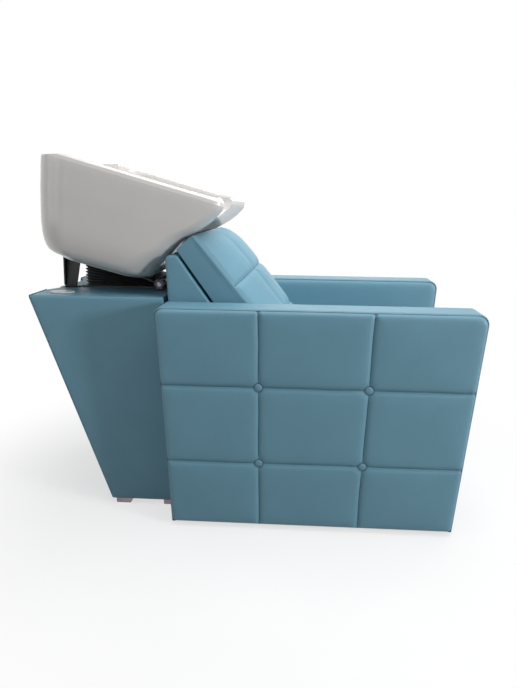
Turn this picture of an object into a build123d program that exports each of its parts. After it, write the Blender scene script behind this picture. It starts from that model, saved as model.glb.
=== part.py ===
from build123d import *
import math
import os

# Hair washing bed: two box arms, a seat, a reclined backrest and a pedestal that carries a tilting basin.
# Millimetres. X runs from the basin to the client's feet, Y to the client's left, Z up.
# The origin is on the floor, under the middle of the whole piece.

# Overall sizes
arm_length = 850.0
arm_height = 648.0
arm_thickness = 109.0
seat_gap = 465.0
glide_height = 12.0
pedestal_reach = 382.0
pedestal_height = 665.0
foot_height = 17.0
cut_overrun = 30.0
seat_clearance = 0.3

# Boards and padding
board = 12.0
carcass_board = 18.0
band_padding = 12.0
side_padding = 14.0
inner_padding = 12.0
skin = 5.0

# Arm
arm_front_top_radius = 30.0
arm_rear_top_radius = 22.0
arm_bottom_radius = 12.0
arm_rail = 45.0
cell_edge = 1.5
cell_crown = 5.5
cell_gap = 4.0
arm_column_shares = (0, 0.316, 0.666, 1)
arm_row_shares = (0, 0.327, 0.683, 1)
arm_button_radius = 11.0
arm_button_height = 4.5
arm_button_rim = 1.5
tuft_radius = 15.0
glide_radius = 22.0
glide_inset = 90.0
glide_stem_radius = 4.0
glide_stem_length = 26.0
bolt_radius = 4.0
bolt_head_radius = 8.0
bolt_head_height = 4.0
bolt_hole_clearance = 0.3
arm_bolt_height = 130.0
arm_bolt_rise = 120.0
arm_bolt_first = 150.0
arm_bolt_spacing = 420.0

# Seat
deck_height = 345.0
deck_front_setback = 24.0
carcass_bottom = 45.0
cross_rail_width = 60.0
seat_cushion_height = 95.0
seat_cushion_crown = 14.0
seat_cushion_front_setback = 10.0
seat_cushion_depth = 490.0
seat_side_clearance = 2.0
front_panel_padding = 12.0

# Backrest and the padded support behind it
backrest_top_height = 826.5
backrest_top_thickness = 58.0
backrest_top_angle = 39.4
backrest_front_angle = 50.5
backrest_top_reach = 89.0
backrest_to_seat = 12.7
backrest_bottom_height = (
    deck_height + seat_clearance + seat_cushion_height + seat_cushion_crown + backrest_to_seat
)
backrest_corner_radius = 8.0
backrest_side_clearance = 1.5
backrest_crown = 61.0
backrest_edge_rise = 5.0
backrest_column_shares = (1 / 3, 2 / 3)
backrest_row_shares = (0.36, 0.69)
channel_width = 5.0
channel_depth = 9.0
backrest_board_thickness = 15.0
backrest_board_inset = 14.0
support_rear_gap = 11.0
support_top_height = 777.0
support_top_radius = 17.0
support_to_backrest = 6.0
support_shell = 9.0
support_rib = 18.0
spacer_radius = 14.0
spacer_drop = 90.0
spacer_pitch = 150.0
spacer_half_width = 130.0

# Pedestal
pedestal_rear_lean = 158.0
pedestal_corner_radius = 16.0
cover_edge_radius = 4.0
top_padding = 20.0
top_edge_drop = 4.0
top_edge_round = 8.0
notch_depth = 32.0
notch_mouth = 250.0
notch_floor = 150.0
hose_opening_rear = 196.0
hose_opening_front = 96.0
hose_opening_half_width = 44.0
foot_length = 46.0
foot_width = 46.0
foot_inset = 8.0
access_width = 300.0
access_height = 380.0
access_low = 110.0
access_screw_inset = 15.0
screw_radius = 2.5
screw_head_radius = 5.0
screw_head_height = 2.2
screw_length = 14.0
cap_length = 68.0
cap_width = 50.0
cap_height = 2.5
cap_plug = 10.0
cap_plug_inset = 6.0
cap_from_rear = 74.0
cap_from_side = 62.0
beam_height = 60.0
beam_width = 40.0
beam_half_spacing = 150.0
beam_reach = 520.0
beam_start = 130.0

# Hinge and tilt. Places on the tilting group are measured from the hinge axis with the basin level.
rest_tilt = 14.5
hinge_behind_arms = 44.0
hinge_rise = 17.0
pin_radius = 6.0
pin_clearance = 0.05
bush_radius = 8.0
bush_clearance = 0.02
lug_radius = 12.0
lug_thickness = 7.0
lug_inner = 66.0
ear_gap = 1.0
ear_thickness = 6.0
ear_radius = 14.0
bracket_plate = 4.0
bracket_rear = 250.0
bracket_half_width = 64.0
bracket_front = 20.0
pin_head_radius = 10.0
pin_head_height = 4.0
knob_radius = 12.0
knob_lobe_radius = 3.5
knob_lobes = 6
knob_width = 22.0
knob_gap = 1.0
knob_hub_radius = 10.0
knob_hub_width = 5.0

# Cradle under the basin
cradle_low = 0.0
cradle_thickness = 4.0
cradle_rear = 300.0
cradle_front = 17.0
cradle_half_width = 88.0
cradle_corner = 20.0
cradle_hole_radius = 34.0
pad_thickness = 2.0
pad_radius = 16.0
pad_rear = 228.0
pad_front = 70.0
pad_half_spacing = 68.0

# Guide stay at the rear
stay_rear = 300.0
stay_front = 256.0
stay_length = 148.0
stay_waist = 90.0
stay_waist_rear = 295.0
stay_waist_front = 259.0
stay_end_rear = 273.0
stay_end_front = 262.0
stay_thickness = 5.0
stay_offset = 55.0
stay_flange = 20.0
stay_flange_end = 5.0
stay_flange_thickness = 4.0
stay_foot_length = 24.0
stay_slot_clearance = 4.0
stop_pin_radius = 4.0
stop_pin_length = 20.0
stop_pin_behind = 270.0
stay_screw_radius = 3.0
stay_screw_spacing = 16.0

# Bellows
bellows_rear = 246.0
bellows_front = 12.0
bellows_half_width = 60.0
bellows_corner = 24.0
bellows_fold = 6.0
bellows_wall = 2.5
bellows_folds = 8

# Basin
basin_rim = 273.0
basin_ahead = 157.0
basin_behind = 337.0
basin_half_width = 245.0
rim_roll = 13.0
rim_inset = 11.0
rear_bow = 8.0
rear_corner = 96.0
front_corner = 72.0
front_hollow = 30.0
bowl_wall = 24.0
bowl_floor_thickness = 18.0
deck_length = 90.0
deck_drop = 32.0
deck_half_width = 150.0
deck_thickness = 20.0
rear_slope_start = 247.0
neck_radius = 92.0
neck_rise = 10.0
neck_from = 60.0
tap_hole_radius = 17.5
tap_from_rear = 44.0
service_half_width = 120.0
service_rear_wall = 20.0
service_front_wall = 15.0

# Drain
drain_behind = 142.0
drain_recess_radius = 46.0
drain_recess_depth = 5.0
flange_radius = 43.0
flange_thickness = 3.0
gasket_thickness = 2.0
tail_radius = 28.0
tail_bore = 24.0
tail_clearance = 1.0
tail_bottom = -26.0
spigot_bottom = -62.0
spigot_radius = 20.0
spigot_bore = 17.0
nut_radius = 42.0
nut_height = 11.0
nut_clearance = 0.1
strainer_radius = 22.0
strainer_depth = 16.0
strainer_wall = 1.5
strainer_lip = 26.0
strainer_hole_radius = 2.0
strainer_holes = 8
strainer_clearance = 0.3
strainer_knob_radius = 4.0
strainer_knob_height = 12.0
hose_wall = 2.5
hose_upper_run = 162.0
hose_lower_bend = 240.0
hose_clearance = 0.1
outlet_radius = 20.0
outlet_bore = 17.0
outlet_top = 95.0
outlet_behind = 130.0
outlet_flange_radius = 32.0
outlet_flange_thickness = 4.0
hose_clamp_thickness = 2.0
hose_clamp_width = 10.0
hose_clamp_inset = 12.0
supply_hole_radius = 30.0
supply_hole_ahead = 60.0
supply_hole_side = 85.0

# Worked out from the sizes above
total_length = arm_length + pedestal_reach
rear_x = -total_length / 2
arm_rear_x = rear_x + pedestal_reach
arm_front_x = arm_rear_x + arm_length
arm_bottom_z = glide_height
arm_top_z = glide_height + arm_height
inner_half = seat_gap / 2
outer_half = inner_half + arm_thickness
pedestal_half = inner_half
hinge_x = arm_rear_x - hinge_behind_arms
hinge_z = pedestal_height + hinge_rise
cradle_high = cradle_low + cradle_thickness
basin_floor = cradle_high + pad_thickness
bowl_bottom = basin_floor + bowl_floor_thickness
top_board_high = pedestal_height - top_padding
top_board_low = top_board_high - carcass_board
arm_face_y = -outer_half
outer_board_low = arm_face_y + side_padding
outer_board_high = outer_board_low + board
inner_board_high = -inner_half - inner_padding
inner_board_low = inner_board_high - board
arm_middle_y = (outer_board_high + inner_board_low) / 2
bolt_hole_radius = bolt_radius + bolt_hole_clearance


def block(low_x, high_x, low_y, high_y, low_z, high_z):
    """A box between two corners."""
    middle = ((low_x + high_x) / 2, (low_y + high_y) / 2, (low_z + high_z) / 2)
    return Pos(*middle) * Box(high_x - low_x, high_y - low_y, high_z - low_z)


def side_slab(points, radii, low_y, high_y):
    """A side view outline of x and z points, rounded at its corners, made thick along Y."""
    path = FilletPolyline(*[(x, low_y, z) for x, z in points], radius=radii, close=True)
    return extrude(make_face(path), amount=high_y - low_y, dir=(0, 1, 0))


def rod_along_y(radius, low_y, high_y, x, z):
    """A round bar along Y."""
    bar = Cylinder(radius, high_y - low_y)
    return Pos(x, (low_y + high_y) / 2, z) * Rot(X=90) * bar


def rod_along_z(radius, low_z, high_z, x, y):
    """A round bar along Z."""
    return Pos(x, y, (low_z + high_z) / 2) * Cylinder(radius, high_z - low_z)


def mirrored(solid):
    """The same piece on the other side of the middle plane."""
    return mirror(solid, about=Plane.XZ)


def on_hinge(solid):
    """Set a piece that was built level about the hinge axis to its resting tilt."""
    return Pos(hinge_x, 0, hinge_z) * Rot(Y=rest_tilt) * solid


def group(solids):
    """Several separate solids that share one node."""
    return Compound(children=[part for solid in solids for part in solid.solids()])


def both_sides(solids):
    """A group of pieces on the right with the same pieces on the left."""
    return group([solids, mirrored(solids)])


# Arms

def arm_outline(inset):
    """Corner points of an arm in side view, drawn in at the top, front and rear."""
    return [
        (arm_rear_x + inset, arm_bottom_z),
        (arm_front_x - inset, arm_bottom_z),
        (arm_front_x - inset, arm_top_z - inset),
        (arm_rear_x + inset, arm_top_z - inset),
    ]


def arm_radii(inset):
    """Corner radii that follow the arm's outline."""
    bottom = arm_bottom_radius
    return [bottom, bottom, arm_front_top_radius - inset, arm_rear_top_radius - inset]


def arm_bolt_places():
    """Side view places of the four bolts that hold an arm to the seat carcass."""
    places = []
    for along in range(2):
        for up in range(2):
            x = arm_rear_x + arm_bolt_first + along * arm_bolt_spacing
            z = arm_bolt_height + up * arm_bolt_rise
            places.append((x, z))
    return places


def arm_boards():
    """The two plywood faces of an arm."""
    points = arm_outline(band_padding)
    radii = arm_radii(band_padding)
    outside = side_slab(points, radii, outer_board_low, outer_board_high)
    inside = side_slab(points, radii, inner_board_low, inner_board_high)
    for x, z in arm_bolt_places():
        inside -= rod_along_y(bolt_hole_radius, inner_board_low, inner_board_high, x, z)
    return group([outside, inside])


def arm_rails():
    """Rails between an arm's two boards."""
    low_x = arm_rear_x + band_padding + arm_rail
    high_x = arm_front_x - band_padding - arm_rail
    low_z = arm_bottom_z
    high_z = arm_top_z - band_padding
    low_y = outer_board_high
    high_y = inner_board_low
    whole = side_slab(arm_outline(band_padding), arm_radii(band_padding), low_y, high_y)
    rear = whole & block(low_x - arm_rail, low_x, low_y, high_y, low_z, high_z)
    front = whole & block(high_x, high_x + arm_rail, low_y, high_y, low_z, high_z)
    bottom = block(low_x, high_x, low_y, high_y, low_z, low_z + arm_rail)
    top = block(low_x, high_x, low_y, high_y, high_z - arm_rail, high_z)
    rear_of_middle = (low_x + high_x - arm_rail) / 2
    front_of_middle = rear_of_middle + arm_rail
    middle = block(rear_of_middle, front_of_middle, low_y, high_y, low_z + arm_rail, high_z - arm_rail)
    stem = glide_stem_radius + bolt_hole_clearance
    stem_top = low_z + glide_stem_length + bolt_hole_clearance
    for x in glide_places():
        bottom -= rod_along_z(stem, low_z, stem_top, x, arm_middle_y)
    return group([rear, front, bottom, top, middle])


def arm_band():
    """The padded strip over an arm's top, front and rear edges."""
    strip = side_slab(arm_outline(0), arm_radii(0), outer_board_low, inner_board_high)
    below = arm_bottom_z - cut_overrun
    points = arm_outline(band_padding)
    points[0] = (points[0][0], below)
    points[1] = (points[1][0], below)
    return strip - side_slab(points, arm_radii(band_padding), outer_board_low, inner_board_high)


def arm_cell(width, height):
    """One puffed cell of the outer pad, lying flat, its base on Z zero."""
    slices = []
    across_shares = (0, 0.12, 0.5, 0.88, 1)
    rise_shares = (0, 0.72, 1, 0.72, 0)
    half = height / 2
    for across_share, rise_share in zip(across_shares, rise_shares):
        x = (across_share - 1 / 2) * width
        crest = cell_edge + cell_edge / 2 + cell_crown * rise_share
        low = Line((x, -half, 0), (x, half, 0))
        up = Line((x, half, 0), (x, half, cell_edge))
        over = ThreePointArc((x, half, cell_edge), (x, 0, crest), (x, -half, cell_edge))
        down = Line((x, -half, cell_edge), (x, -half, 0))
        slices.append(make_face(Wire([low, up, over, down])))
    return loft(slices)


def seam_lines():
    """X of the upright seams and Z of the level seams, with the pad's edges."""
    columns = [arm_rear_x + share * arm_length for share in arm_column_shares]
    rows = [arm_bottom_z + share * arm_height for share in arm_row_shares]
    return columns, rows


def arm_outer_pad():
    """The tufted outer face: a slab with three by three puffed cells and a dip at each button."""
    slab = side_slab(arm_outline(0), arm_radii(0), arm_face_y, outer_board_low)
    trim_points = arm_outline(cell_gap / 2)
    trim_points[0] = (trim_points[0][0], arm_bottom_z + cell_gap / 2)
    trim_points[1] = (trim_points[1][0], arm_bottom_z + cell_gap / 2)
    reach = arm_face_y - cell_edge - cell_crown - cut_overrun
    trim = side_slab(trim_points, arm_radii(cell_gap / 2), reach, arm_face_y)
    columns, rows = seam_lines()
    for low_x, high_x in zip(columns, columns[1:]):
        for low_z, high_z in zip(rows, rows[1:]):
            cell = arm_cell(high_x - low_x - cell_gap, high_z - low_z - cell_gap)
            placed = Pos((low_x + high_x) / 2, arm_face_y, (low_z + high_z) / 2) * Rot(X=90) * cell
            slab += placed & trim
    for x, z in arm_button_places():
        slab -= rod_along_y(tuft_radius, reach, arm_face_y, x, z)
    return slab


def arm_button_places():
    """Side view places of the buttons, where the seams cross."""
    columns, rows = seam_lines()
    return [(x, z) for x in columns[1:-1] for z in rows[1:-1]]


def arm_buttons():
    """Covered buttons with rounded faces."""
    buttons = []
    for x, z in arm_button_places():
        button = rod_along_y(arm_button_radius, arm_face_y - arm_button_height, arm_face_y, x, z)
        front = button.faces().sort_by(Axis.Y)[0]
        buttons.append(fillet(front.edges(), arm_button_rim))
    return group(buttons)


def arm_inner_pad():
    """The plain padded inner face, with the bolts passing through it."""
    slab = side_slab(arm_outline(0), arm_radii(0), inner_board_high, -inner_half)
    for x, z in arm_bolt_places():
        slab -= rod_along_y(bolt_hole_radius, inner_board_high, -inner_half, x, z)
    return slab


def glide_places():
    """X of the two feet under an arm."""
    return arm_rear_x + glide_inset, arm_front_x - glide_inset


def arm_glides():
    """Round feet under the two ends of an arm, each on a stem in the bottom rail."""
    glides = []
    stem_top = arm_bottom_z + glide_stem_length
    for x in glide_places():
        glide = rod_along_z(glide_radius, 0, arm_bottom_z, x, arm_middle_y)
        glide += rod_along_z(glide_stem_radius, arm_bottom_z, stem_top, x, arm_middle_y)
        glides.append(glide)
    return group(glides)


def arm_bolts():
    """Bolts from inside the seat carcass into an arm."""
    inside = -inner_half + carcass_board
    bolts = []
    for x, z in arm_bolt_places():
        shank = rod_along_y(bolt_radius, inner_board_low, inside, x, z)
        head = rod_along_y(bolt_head_radius, inside, inside + bolt_head_height, x, z)
        bolts.append(shank + head)
    return group(bolts)


# Seat

def carcass_sides():
    """Two boards on edge against the arms, which carry the deck."""
    low_x = arm_rear_x + support_rear_gap
    high_x = arm_front_x - deck_front_setback - carcass_board
    low_y = -inner_half
    side = block(low_x, high_x, low_y, low_y + carcass_board, carcass_bottom, deck_low())
    for x, z in arm_bolt_places():
        side -= rod_along_y(bolt_hole_radius, low_y, low_y + carcass_board, x, z)
    return group([side, mirrored(side)])


def deck_low():
    """Height of the underside of the seat deck."""
    return deck_height - carcass_board


def carcass_cross():
    """Cross rails under the deck, standing on the base beams at the ends."""
    low_x = arm_rear_x + support_rear_gap
    high_x = arm_front_x - deck_front_setback - carcass_board
    half = inner_half - carcass_board
    beam_top = foot_height + carcass_board + beam_height
    middle_x = arm_rear_x + beam_reach - carcass_board
    rear = block(low_x, low_x + carcass_board, -half, half, beam_top, deck_low())
    front = block(middle_x, middle_x + carcass_board, -half, half, beam_top, deck_low())
    centre_x = (low_x + high_x) / 2
    centre = block(
        centre_x - carcass_board / 2,
        centre_x + carcass_board / 2,
        -half,
        half,
        deck_low() - cross_rail_width,
        deck_low(),
    )
    return group([rear, centre, front])


def seat_deck():
    """The plywood deck under the cushion and the back support."""
    low_x = arm_rear_x + support_rear_gap
    high_x = arm_front_x - deck_front_setback
    return block(low_x, high_x, -inner_half, inner_half, deck_low(), deck_height)


def pillow(length, width, edge, crown):
    """A crowned cushion lying flat: drawn in at its sides, highest in the middle, base on Z zero."""
    slices = []
    across_shares = (0, 0.05, 0.1, 0.17, 0.3, 0.5, 0.7, 0.83, 0.9, 0.95, 1)
    rise_shares = (0.02, 0.44, 0.82, 0.96, 0.99, 1, 0.99, 0.96, 0.82, 0.44, 0.02)
    half = width / 2
    for across_share, rise_share in zip(across_shares, rise_shares):
        x = (across_share - 1 / 2) * length
        crest = edge + crown * rise_share
        low = Line((x, -half, 0), (x, half, 0))
        up = Line((x, half, 0), (x, half, edge))
        over = ThreePointArc((x, half, edge), (x, 0, crest), (x, -half, edge))
        down = Line((x, -half, edge), (x, -half, 0))
        slices.append(make_face(Wire([low, up, over, down])))
    return loft(slices)


def seat_cushion():
    """The seat cushion, boxed at its sides and crowned on top."""
    width = seat_gap - 2 * seat_side_clearance
    side = pillow(seat_cushion_depth, width, seat_cushion_height, seat_cushion_crown)
    middle_x = arm_front_x - seat_cushion_front_setback - seat_cushion_depth / 2
    return Pos(middle_x, 0, deck_height + seat_clearance) * side


def seat_front_board():
    """The board that closes the carcass at the front."""
    high_x = arm_front_x - deck_front_setback
    return block(high_x - carcass_board, high_x, -inner_half, inner_half, carcass_bottom, deck_low())


def seat_front_pad():
    """The padded panel in front of the carcass."""
    low_x = arm_front_x - deck_front_setback
    high_x = low_x + front_panel_padding
    half = inner_half - seat_side_clearance
    slab = block(low_x, high_x, -half, half, carcass_bottom, deck_height)
    front = slab.faces().sort_by(Axis.X)[-1]
    return fillet(front.edges(), front_panel_padding / 3)


# Backrest

def backrest_top_points():
    """Side view points of the backrest's top edge: rear top and front top."""
    front_top = (arm_rear_x + backrest_top_reach, backrest_top_height)
    turn = math.radians(backrest_top_angle)
    rear_top = (
        front_top[0] - backrest_top_thickness * math.cos(turn),
        front_top[1] - backrest_top_thickness * math.sin(turn),
    )
    return rear_top, front_top


def backrest_rear_angle():
    """Slope of the backrest's rear face, which runs down to the rear end of the seat cushion."""
    rear_top = backrest_top_points()[0]
    cushion_rear = arm_front_x - seat_cushion_front_setback - seat_cushion_depth
    return math.degrees(math.atan2(rear_top[1] - deck_height, cushion_rear - rear_top[0]))


def backrest_corners():
    """Side view corners of the backrest: rear top, front top, front bottom, rear bottom."""
    rear_top, front_top = backrest_top_points()
    front_slope = math.tan(math.radians(backrest_front_angle))
    rear_slope = math.tan(math.radians(backrest_rear_angle()))
    front_run = (backrest_top_height - backrest_bottom_height) / front_slope
    rear_run = (rear_top[1] - backrest_bottom_height) / rear_slope
    front_bottom = (front_top[0] + front_run, backrest_bottom_height)
    rear_bottom = (rear_top[0] + rear_run, backrest_bottom_height)
    return rear_top, front_top, front_bottom, rear_bottom


def offset_along(point, angle, forward, outward):
    """A side view point moved down a line of the given slope and out to its rear side."""
    turn = math.radians(angle)
    x = point[0] + forward * math.cos(turn) - outward * math.sin(turn)
    z = point[1] - forward * math.sin(turn) - outward * math.cos(turn)
    return x, z


def backrest_rear_length():
    """Length of the backrest's rear face in side view."""
    rear_top, front_top, front_bottom, rear_bottom = backrest_corners()
    return math.dist(rear_top, rear_bottom)


def backrest_board_outline(outward):
    """Side view outline of the board let into the backrest's rear face."""
    rear_top = backrest_corners()[0]
    length = backrest_rear_length()
    start = backrest_board_inset
    stop = length - backrest_board_inset
    inner = -backrest_board_thickness
    angle = backrest_rear_angle()
    return [
        offset_along(rear_top, angle, start, outward),
        offset_along(rear_top, angle, start, inner),
        offset_along(rear_top, angle, stop, inner),
        offset_along(rear_top, angle, stop, outward),
    ]


def backrest_board():
    """The plywood board behind the backrest cushion."""
    half = inner_half - backrest_side_clearance - backrest_board_inset
    slab = side_slab(backrest_board_outline(0), 0, -half, half)
    return slab - spacer_holes()


def backrest_cushion():
    """The reclined cushion: thick sides, a crowned front with three columns and three rows."""
    rear_top, front_top, front_bottom, rear_bottom = backrest_corners()
    half = inner_half - backrest_side_clearance
    radii = [backrest_corner_radius, 0, 0, backrest_corner_radius]
    points = [rear_top, front_top, front_bottom, rear_bottom]
    body = side_slab(points, radii, -half, half)
    board_half = inner_half - backrest_side_clearance - backrest_board_inset
    body -= side_slab(backrest_board_outline(cut_overrun), 0, -board_half, board_half)
    length = math.dist(front_top, front_bottom)
    middle = ((front_top[0] + front_bottom[0]) / 2, 0, (front_top[1] + front_bottom[1]) / 2)
    front = pillow(length, 2 * half, backrest_edge_rise, backrest_crown)
    front -= backrest_channels(length, 2 * half)
    return body + Pos(*middle) * Rot(Y=backrest_front_angle) * front


def crown_height(share, crown, edge):
    """Height of the crown's arc at a share of its width, by the parabola close to that arc."""
    return edge + crown * (1 - (2 * share - 1) ** 2)


def backrest_channels(length, width):
    """Cutters for the sewn channels between the columns and rows of the backrest."""
    cutters = []
    above = backrest_crown + cut_overrun
    for share in backrest_column_shares:
        y = (share - 1 / 2) * width
        floor = crown_height(share, backrest_crown, backrest_edge_rise) - channel_depth
        ends = floor - backrest_crown / 3
        low = ThreePointArc((-length / 2, y, ends), (0, y, floor), (length / 2, y, ends))
        rise = Line((length / 2, y, ends), (length / 2, y, above))
        back = Line((length / 2, y, above), (-length / 2, y, above))
        fall = Line((-length / 2, y, above), (-length / 2, y, ends))
        face = make_face(Wire([low, rise, back, fall]))
        plate = extrude(face, amount=channel_width, dir=(0, 1, 0))
        cutters.append(Pos(0, -channel_width / 2, 0) * plate)
    for share in backrest_row_shares:
        x = (share - 1 / 2) * length
        crest = backrest_edge_rise + backrest_crown - channel_depth
        ends = backrest_edge_rise - channel_depth / 3
        half = width / 2
        low = ThreePointArc((x, -half, ends), (x, 0, crest), (x, half, ends))
        rise = Line((x, half, ends), (x, half, above))
        back = Line((x, half, above), (x, -half, above))
        fall = Line((x, -half, above), (x, -half, ends))
        face = make_face(Wire([low, rise, back, fall]))
        plate = extrude(face, amount=channel_width, dir=(1, 0, 0))
        cutters.append(Pos(-channel_width / 2, 0, 0) * plate)
    return cutters


def support_outline(shell):
    """Side view outline of the back support, drawn in by a wall thickness."""
    rear_top = backrest_corners()[0]
    rear_edge = arm_rear_x + support_rear_gap + shell
    top = support_top_height - shell
    slope = math.tan(math.radians(backrest_rear_angle()))
    gap = support_to_backrest + shell
    line_x, line_z = offset_along(rear_top, backrest_rear_angle(), 0, gap)
    top_front = line_x + (line_z - top) / slope
    bottom_front = line_x + (line_z - deck_height) / slope
    return [(rear_edge, deck_height), (bottom_front, deck_height), (top_front, top), (rear_edge, top)]


def support_cover():
    """The upholstered shell of the back support, open underneath."""
    half = inner_half - backrest_side_clearance
    radius = support_top_radius
    outside = side_slab(support_outline(0), [0, 0, radius, radius], -half, half)
    inside_half = half - support_shell
    small = radius - support_shell
    inner = support_outline(support_shell)
    inside = side_slab(inner, [0, 0, small, small], -inside_half, inside_half)
    return outside - inside - spacer_holes()


def support_frame():
    """Upright ribs inside the back support."""
    half = inner_half - backrest_side_clearance - support_shell
    small = support_top_radius - support_shell
    inner = support_outline(support_shell)
    ribs = []
    for y in (-half, -support_rib / 2, half - support_rib):
        ribs.append(side_slab(inner, [0, 0, small, small], y, y + support_rib))
    return group(ribs)


def spacer_places():
    """Middles of the spacers between the support and the backrest: side view point and Y."""
    rear_top = backrest_corners()[0]
    places = []
    for step in range(2):
        point = offset_along(rear_top, backrest_rear_angle(), spacer_drop + step * spacer_pitch, 0)
        for y in (-spacer_half_width, spacer_half_width):
            places.append((point, y))
    return places


def across_gap(radius, inward, outward):
    """Bars square to the backrest's rear face, from inside the backrest to inside the support."""
    bars = []
    for (x, z), y in spacer_places():
        bar = Pos(0, 0, (inward - outward) / 2) * Cylinder(radius, inward + outward)
        bars.append(Pos(x, y, z) * Rot(Y=backrest_rear_angle()) * bar)
    return bars


def spacer_holes():
    """Bolt holes through the board and the support's front wall."""
    inward = backrest_board_thickness + cut_overrun
    outward = support_to_backrest + support_shell + cut_overrun
    return across_gap(bolt_hole_radius, inward, outward)


def backrest_spacers():
    """Washers that hold the backrest off the support."""
    rings = []
    discs = across_gap(spacer_radius, 0, support_to_backrest)
    cores = across_gap(bolt_hole_radius, 0, support_to_backrest)
    for disc, core in zip(discs, cores):
        rings.append(disc - core)
    return group(rings)


def backrest_bolts():
    """Bolts from inside the support into the backrest board."""
    bolts = []
    inside = support_to_backrest + support_shell
    shanks = across_gap(bolt_radius, backrest_board_thickness, inside)
    heads = across_gap(bolt_head_radius, -inside, inside + bolt_head_height)
    for shank, head in zip(shanks, heads):
        bolts.append(shank + head)
    return group(bolts)


# Pedestal

def pedestal_outline(inset, low_z, high_z):
    """Side view outline of the pedestal between two heights, drawn in at the rear."""
    def rear_at(z):
        lean = pedestal_rear_lean * (pedestal_height - z) / (pedestal_height - foot_height)
        return rear_x + inset + lean
    return [(rear_at(low_z), low_z), (arm_rear_x, low_z), (arm_rear_x, high_z), (rear_at(high_z), high_z)]


def rear_wall():
    """Thickness along X of everything behind the pedestal's interior."""
    return skin + board


def pedestal_side_boards():
    """The two side boards, cut to the rear's slope, under the top board."""
    points = pedestal_outline(skin, foot_height, top_board_low)
    low_y = -pedestal_half + skin
    side = side_slab(points, 0, low_y, low_y + board)
    return group([side, mirrored(side)])


def pedestal_front_board():
    """The front board, with notches where the base beams pass."""
    half = pedestal_half - skin - board
    low_z = foot_height + carcass_board
    front = block(arm_rear_x - board, arm_rear_x, -half, half, low_z, top_board_low)
    for y in (-beam_half_spacing, beam_half_spacing):
        front -= block(
            arm_rear_x - board,
            arm_rear_x,
            y - beam_width / 2 - seat_clearance,
            y + beam_width / 2 + seat_clearance,
            low_z,
            low_z + beam_height + seat_clearance,
        )
    return front


def leaning_slab(inset, thickness, low_y, high_y, low_z, high_z):
    """A slab that follows the rear slope of the pedestal, measured along X."""
    outside = pedestal_outline(inset, low_z, high_z)
    inside = pedestal_outline(inset + thickness, low_z, high_z)
    points = [outside[0], inside[0], inside[3], outside[3]]
    return side_slab(points, 0, low_y, high_y)


def pedestal_rear_board():
    """The sloping rear board with the access opening."""
    half = pedestal_half - skin - board
    low_z = foot_height + carcass_board
    rear = leaning_slab(skin, board, -half, half, low_z, top_board_low)
    reach = skin + board + cut_overrun
    opening_half = access_width / 2
    high = access_low + access_height
    rear -= leaning_slab(-cut_overrun, reach + cut_overrun, -opening_half, opening_half, access_low, high)
    return rear


def access_panel():
    """The upholstered panel that closes the access opening from behind, flush with the skin."""
    half = access_width / 2 - seat_clearance
    low = access_low + seat_clearance
    high = access_low + access_height - seat_clearance
    panel = leaning_slab(0, skin + board, -half, half, low, high)
    for place in access_screw_places():
        panel -= place * Pos(0, 0, -screw_length / 2) * Cylinder(screw_radius, screw_length)
    return panel


def access_screw_places():
    """Screw axes square to the rear slope, at the panel's corners."""
    lean = math.degrees(math.atan(pedestal_rear_lean / (pedestal_height - foot_height)))
    places = []
    low = access_low + access_screw_inset
    high = access_low + access_height - access_screw_inset
    side = access_width / 2 - access_screw_inset
    for z in (low, high):
        x = pedestal_outline(0, z, z + board)[0][0]
        for y in (-side, side):
            places.append(Pos(x, y, z) * Rot(Y=-90 - lean))
    return places


def access_screws():
    """Round headed screws of the access panel."""
    screws = []
    for place in access_screw_places():
        shank = Pos(0, 0, -screw_length / 2) * Cylinder(screw_radius, screw_length)
        head = Pos(0, 0, screw_head_height / 2) * Cylinder(screw_head_radius, screw_head_height)
        top = head.faces().sort_by(Axis.Z)[-1]
        head = fillet(top.edges(), screw_head_height / 2)
        screws.append(place * (shank + head))
    return group(screws)


def pedestal_floor_board():
    """The floor board, with holes for the waste outlet and the water supply."""
    points = pedestal_outline(rear_wall(), foot_height, foot_height + carcass_board)
    half = pedestal_half - skin - board
    outer_points = pedestal_outline(skin, foot_height, foot_height + carcass_board)
    points[0] = outer_points[0]
    points[3] = outer_points[3]
    floor = side_slab(points, 0, -half, half)
    outlet_x = arm_rear_x - outlet_behind
    top = foot_height + carcass_board
    floor -= rod_along_z(outlet_radius + bolt_hole_clearance, foot_height, top, outlet_x, 0)
    supply_x = arm_rear_x - supply_hole_ahead
    return floor - rod_along_z(supply_hole_radius, foot_height, top, supply_x, supply_hole_side)


def hose_opening(low_z, high_z):
    """The opening under the bellows for the drain."""
    rear = hinge_x - hose_opening_rear
    front = hinge_x - hose_opening_front
    half = hose_opening_half_width
    return block(rear, front, -half, half, low_z, high_z)


def stay_passage():
    """The slot that the guide stay runs in, open to the rear notch."""
    front = hinge_x - stay_front + stay_slot_clearance
    rear = hinge_x - stay_rear - stay_flange_thickness - stay_slot_clearance * 2
    low_y = -stay_offset - stay_flange - stay_slot_clearance
    high_y = -stay_offset + stay_thickness + stay_slot_clearance
    return block(rear, front, low_y, high_y, top_board_low, pedestal_height)


def rear_notch(low_z, high_z, grow):
    """A shallow notch with sloping ends in the middle of the rear edge."""
    deep = rear_x + notch_depth + grow
    mouth = notch_mouth / 2 + grow
    floor = notch_floor / 2 + grow
    out = rear_x - cut_overrun
    points = [(out, -mouth, low_z), (rear_x, -mouth, low_z), (deep, -floor, low_z)]
    points += [(deep, floor, low_z), (rear_x, mouth, low_z), (out, mouth, low_z)]
    face = make_face(Polyline(*points, close=True))
    return extrude(face, amount=high_z - low_z, dir=(0, 0, 1))


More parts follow.
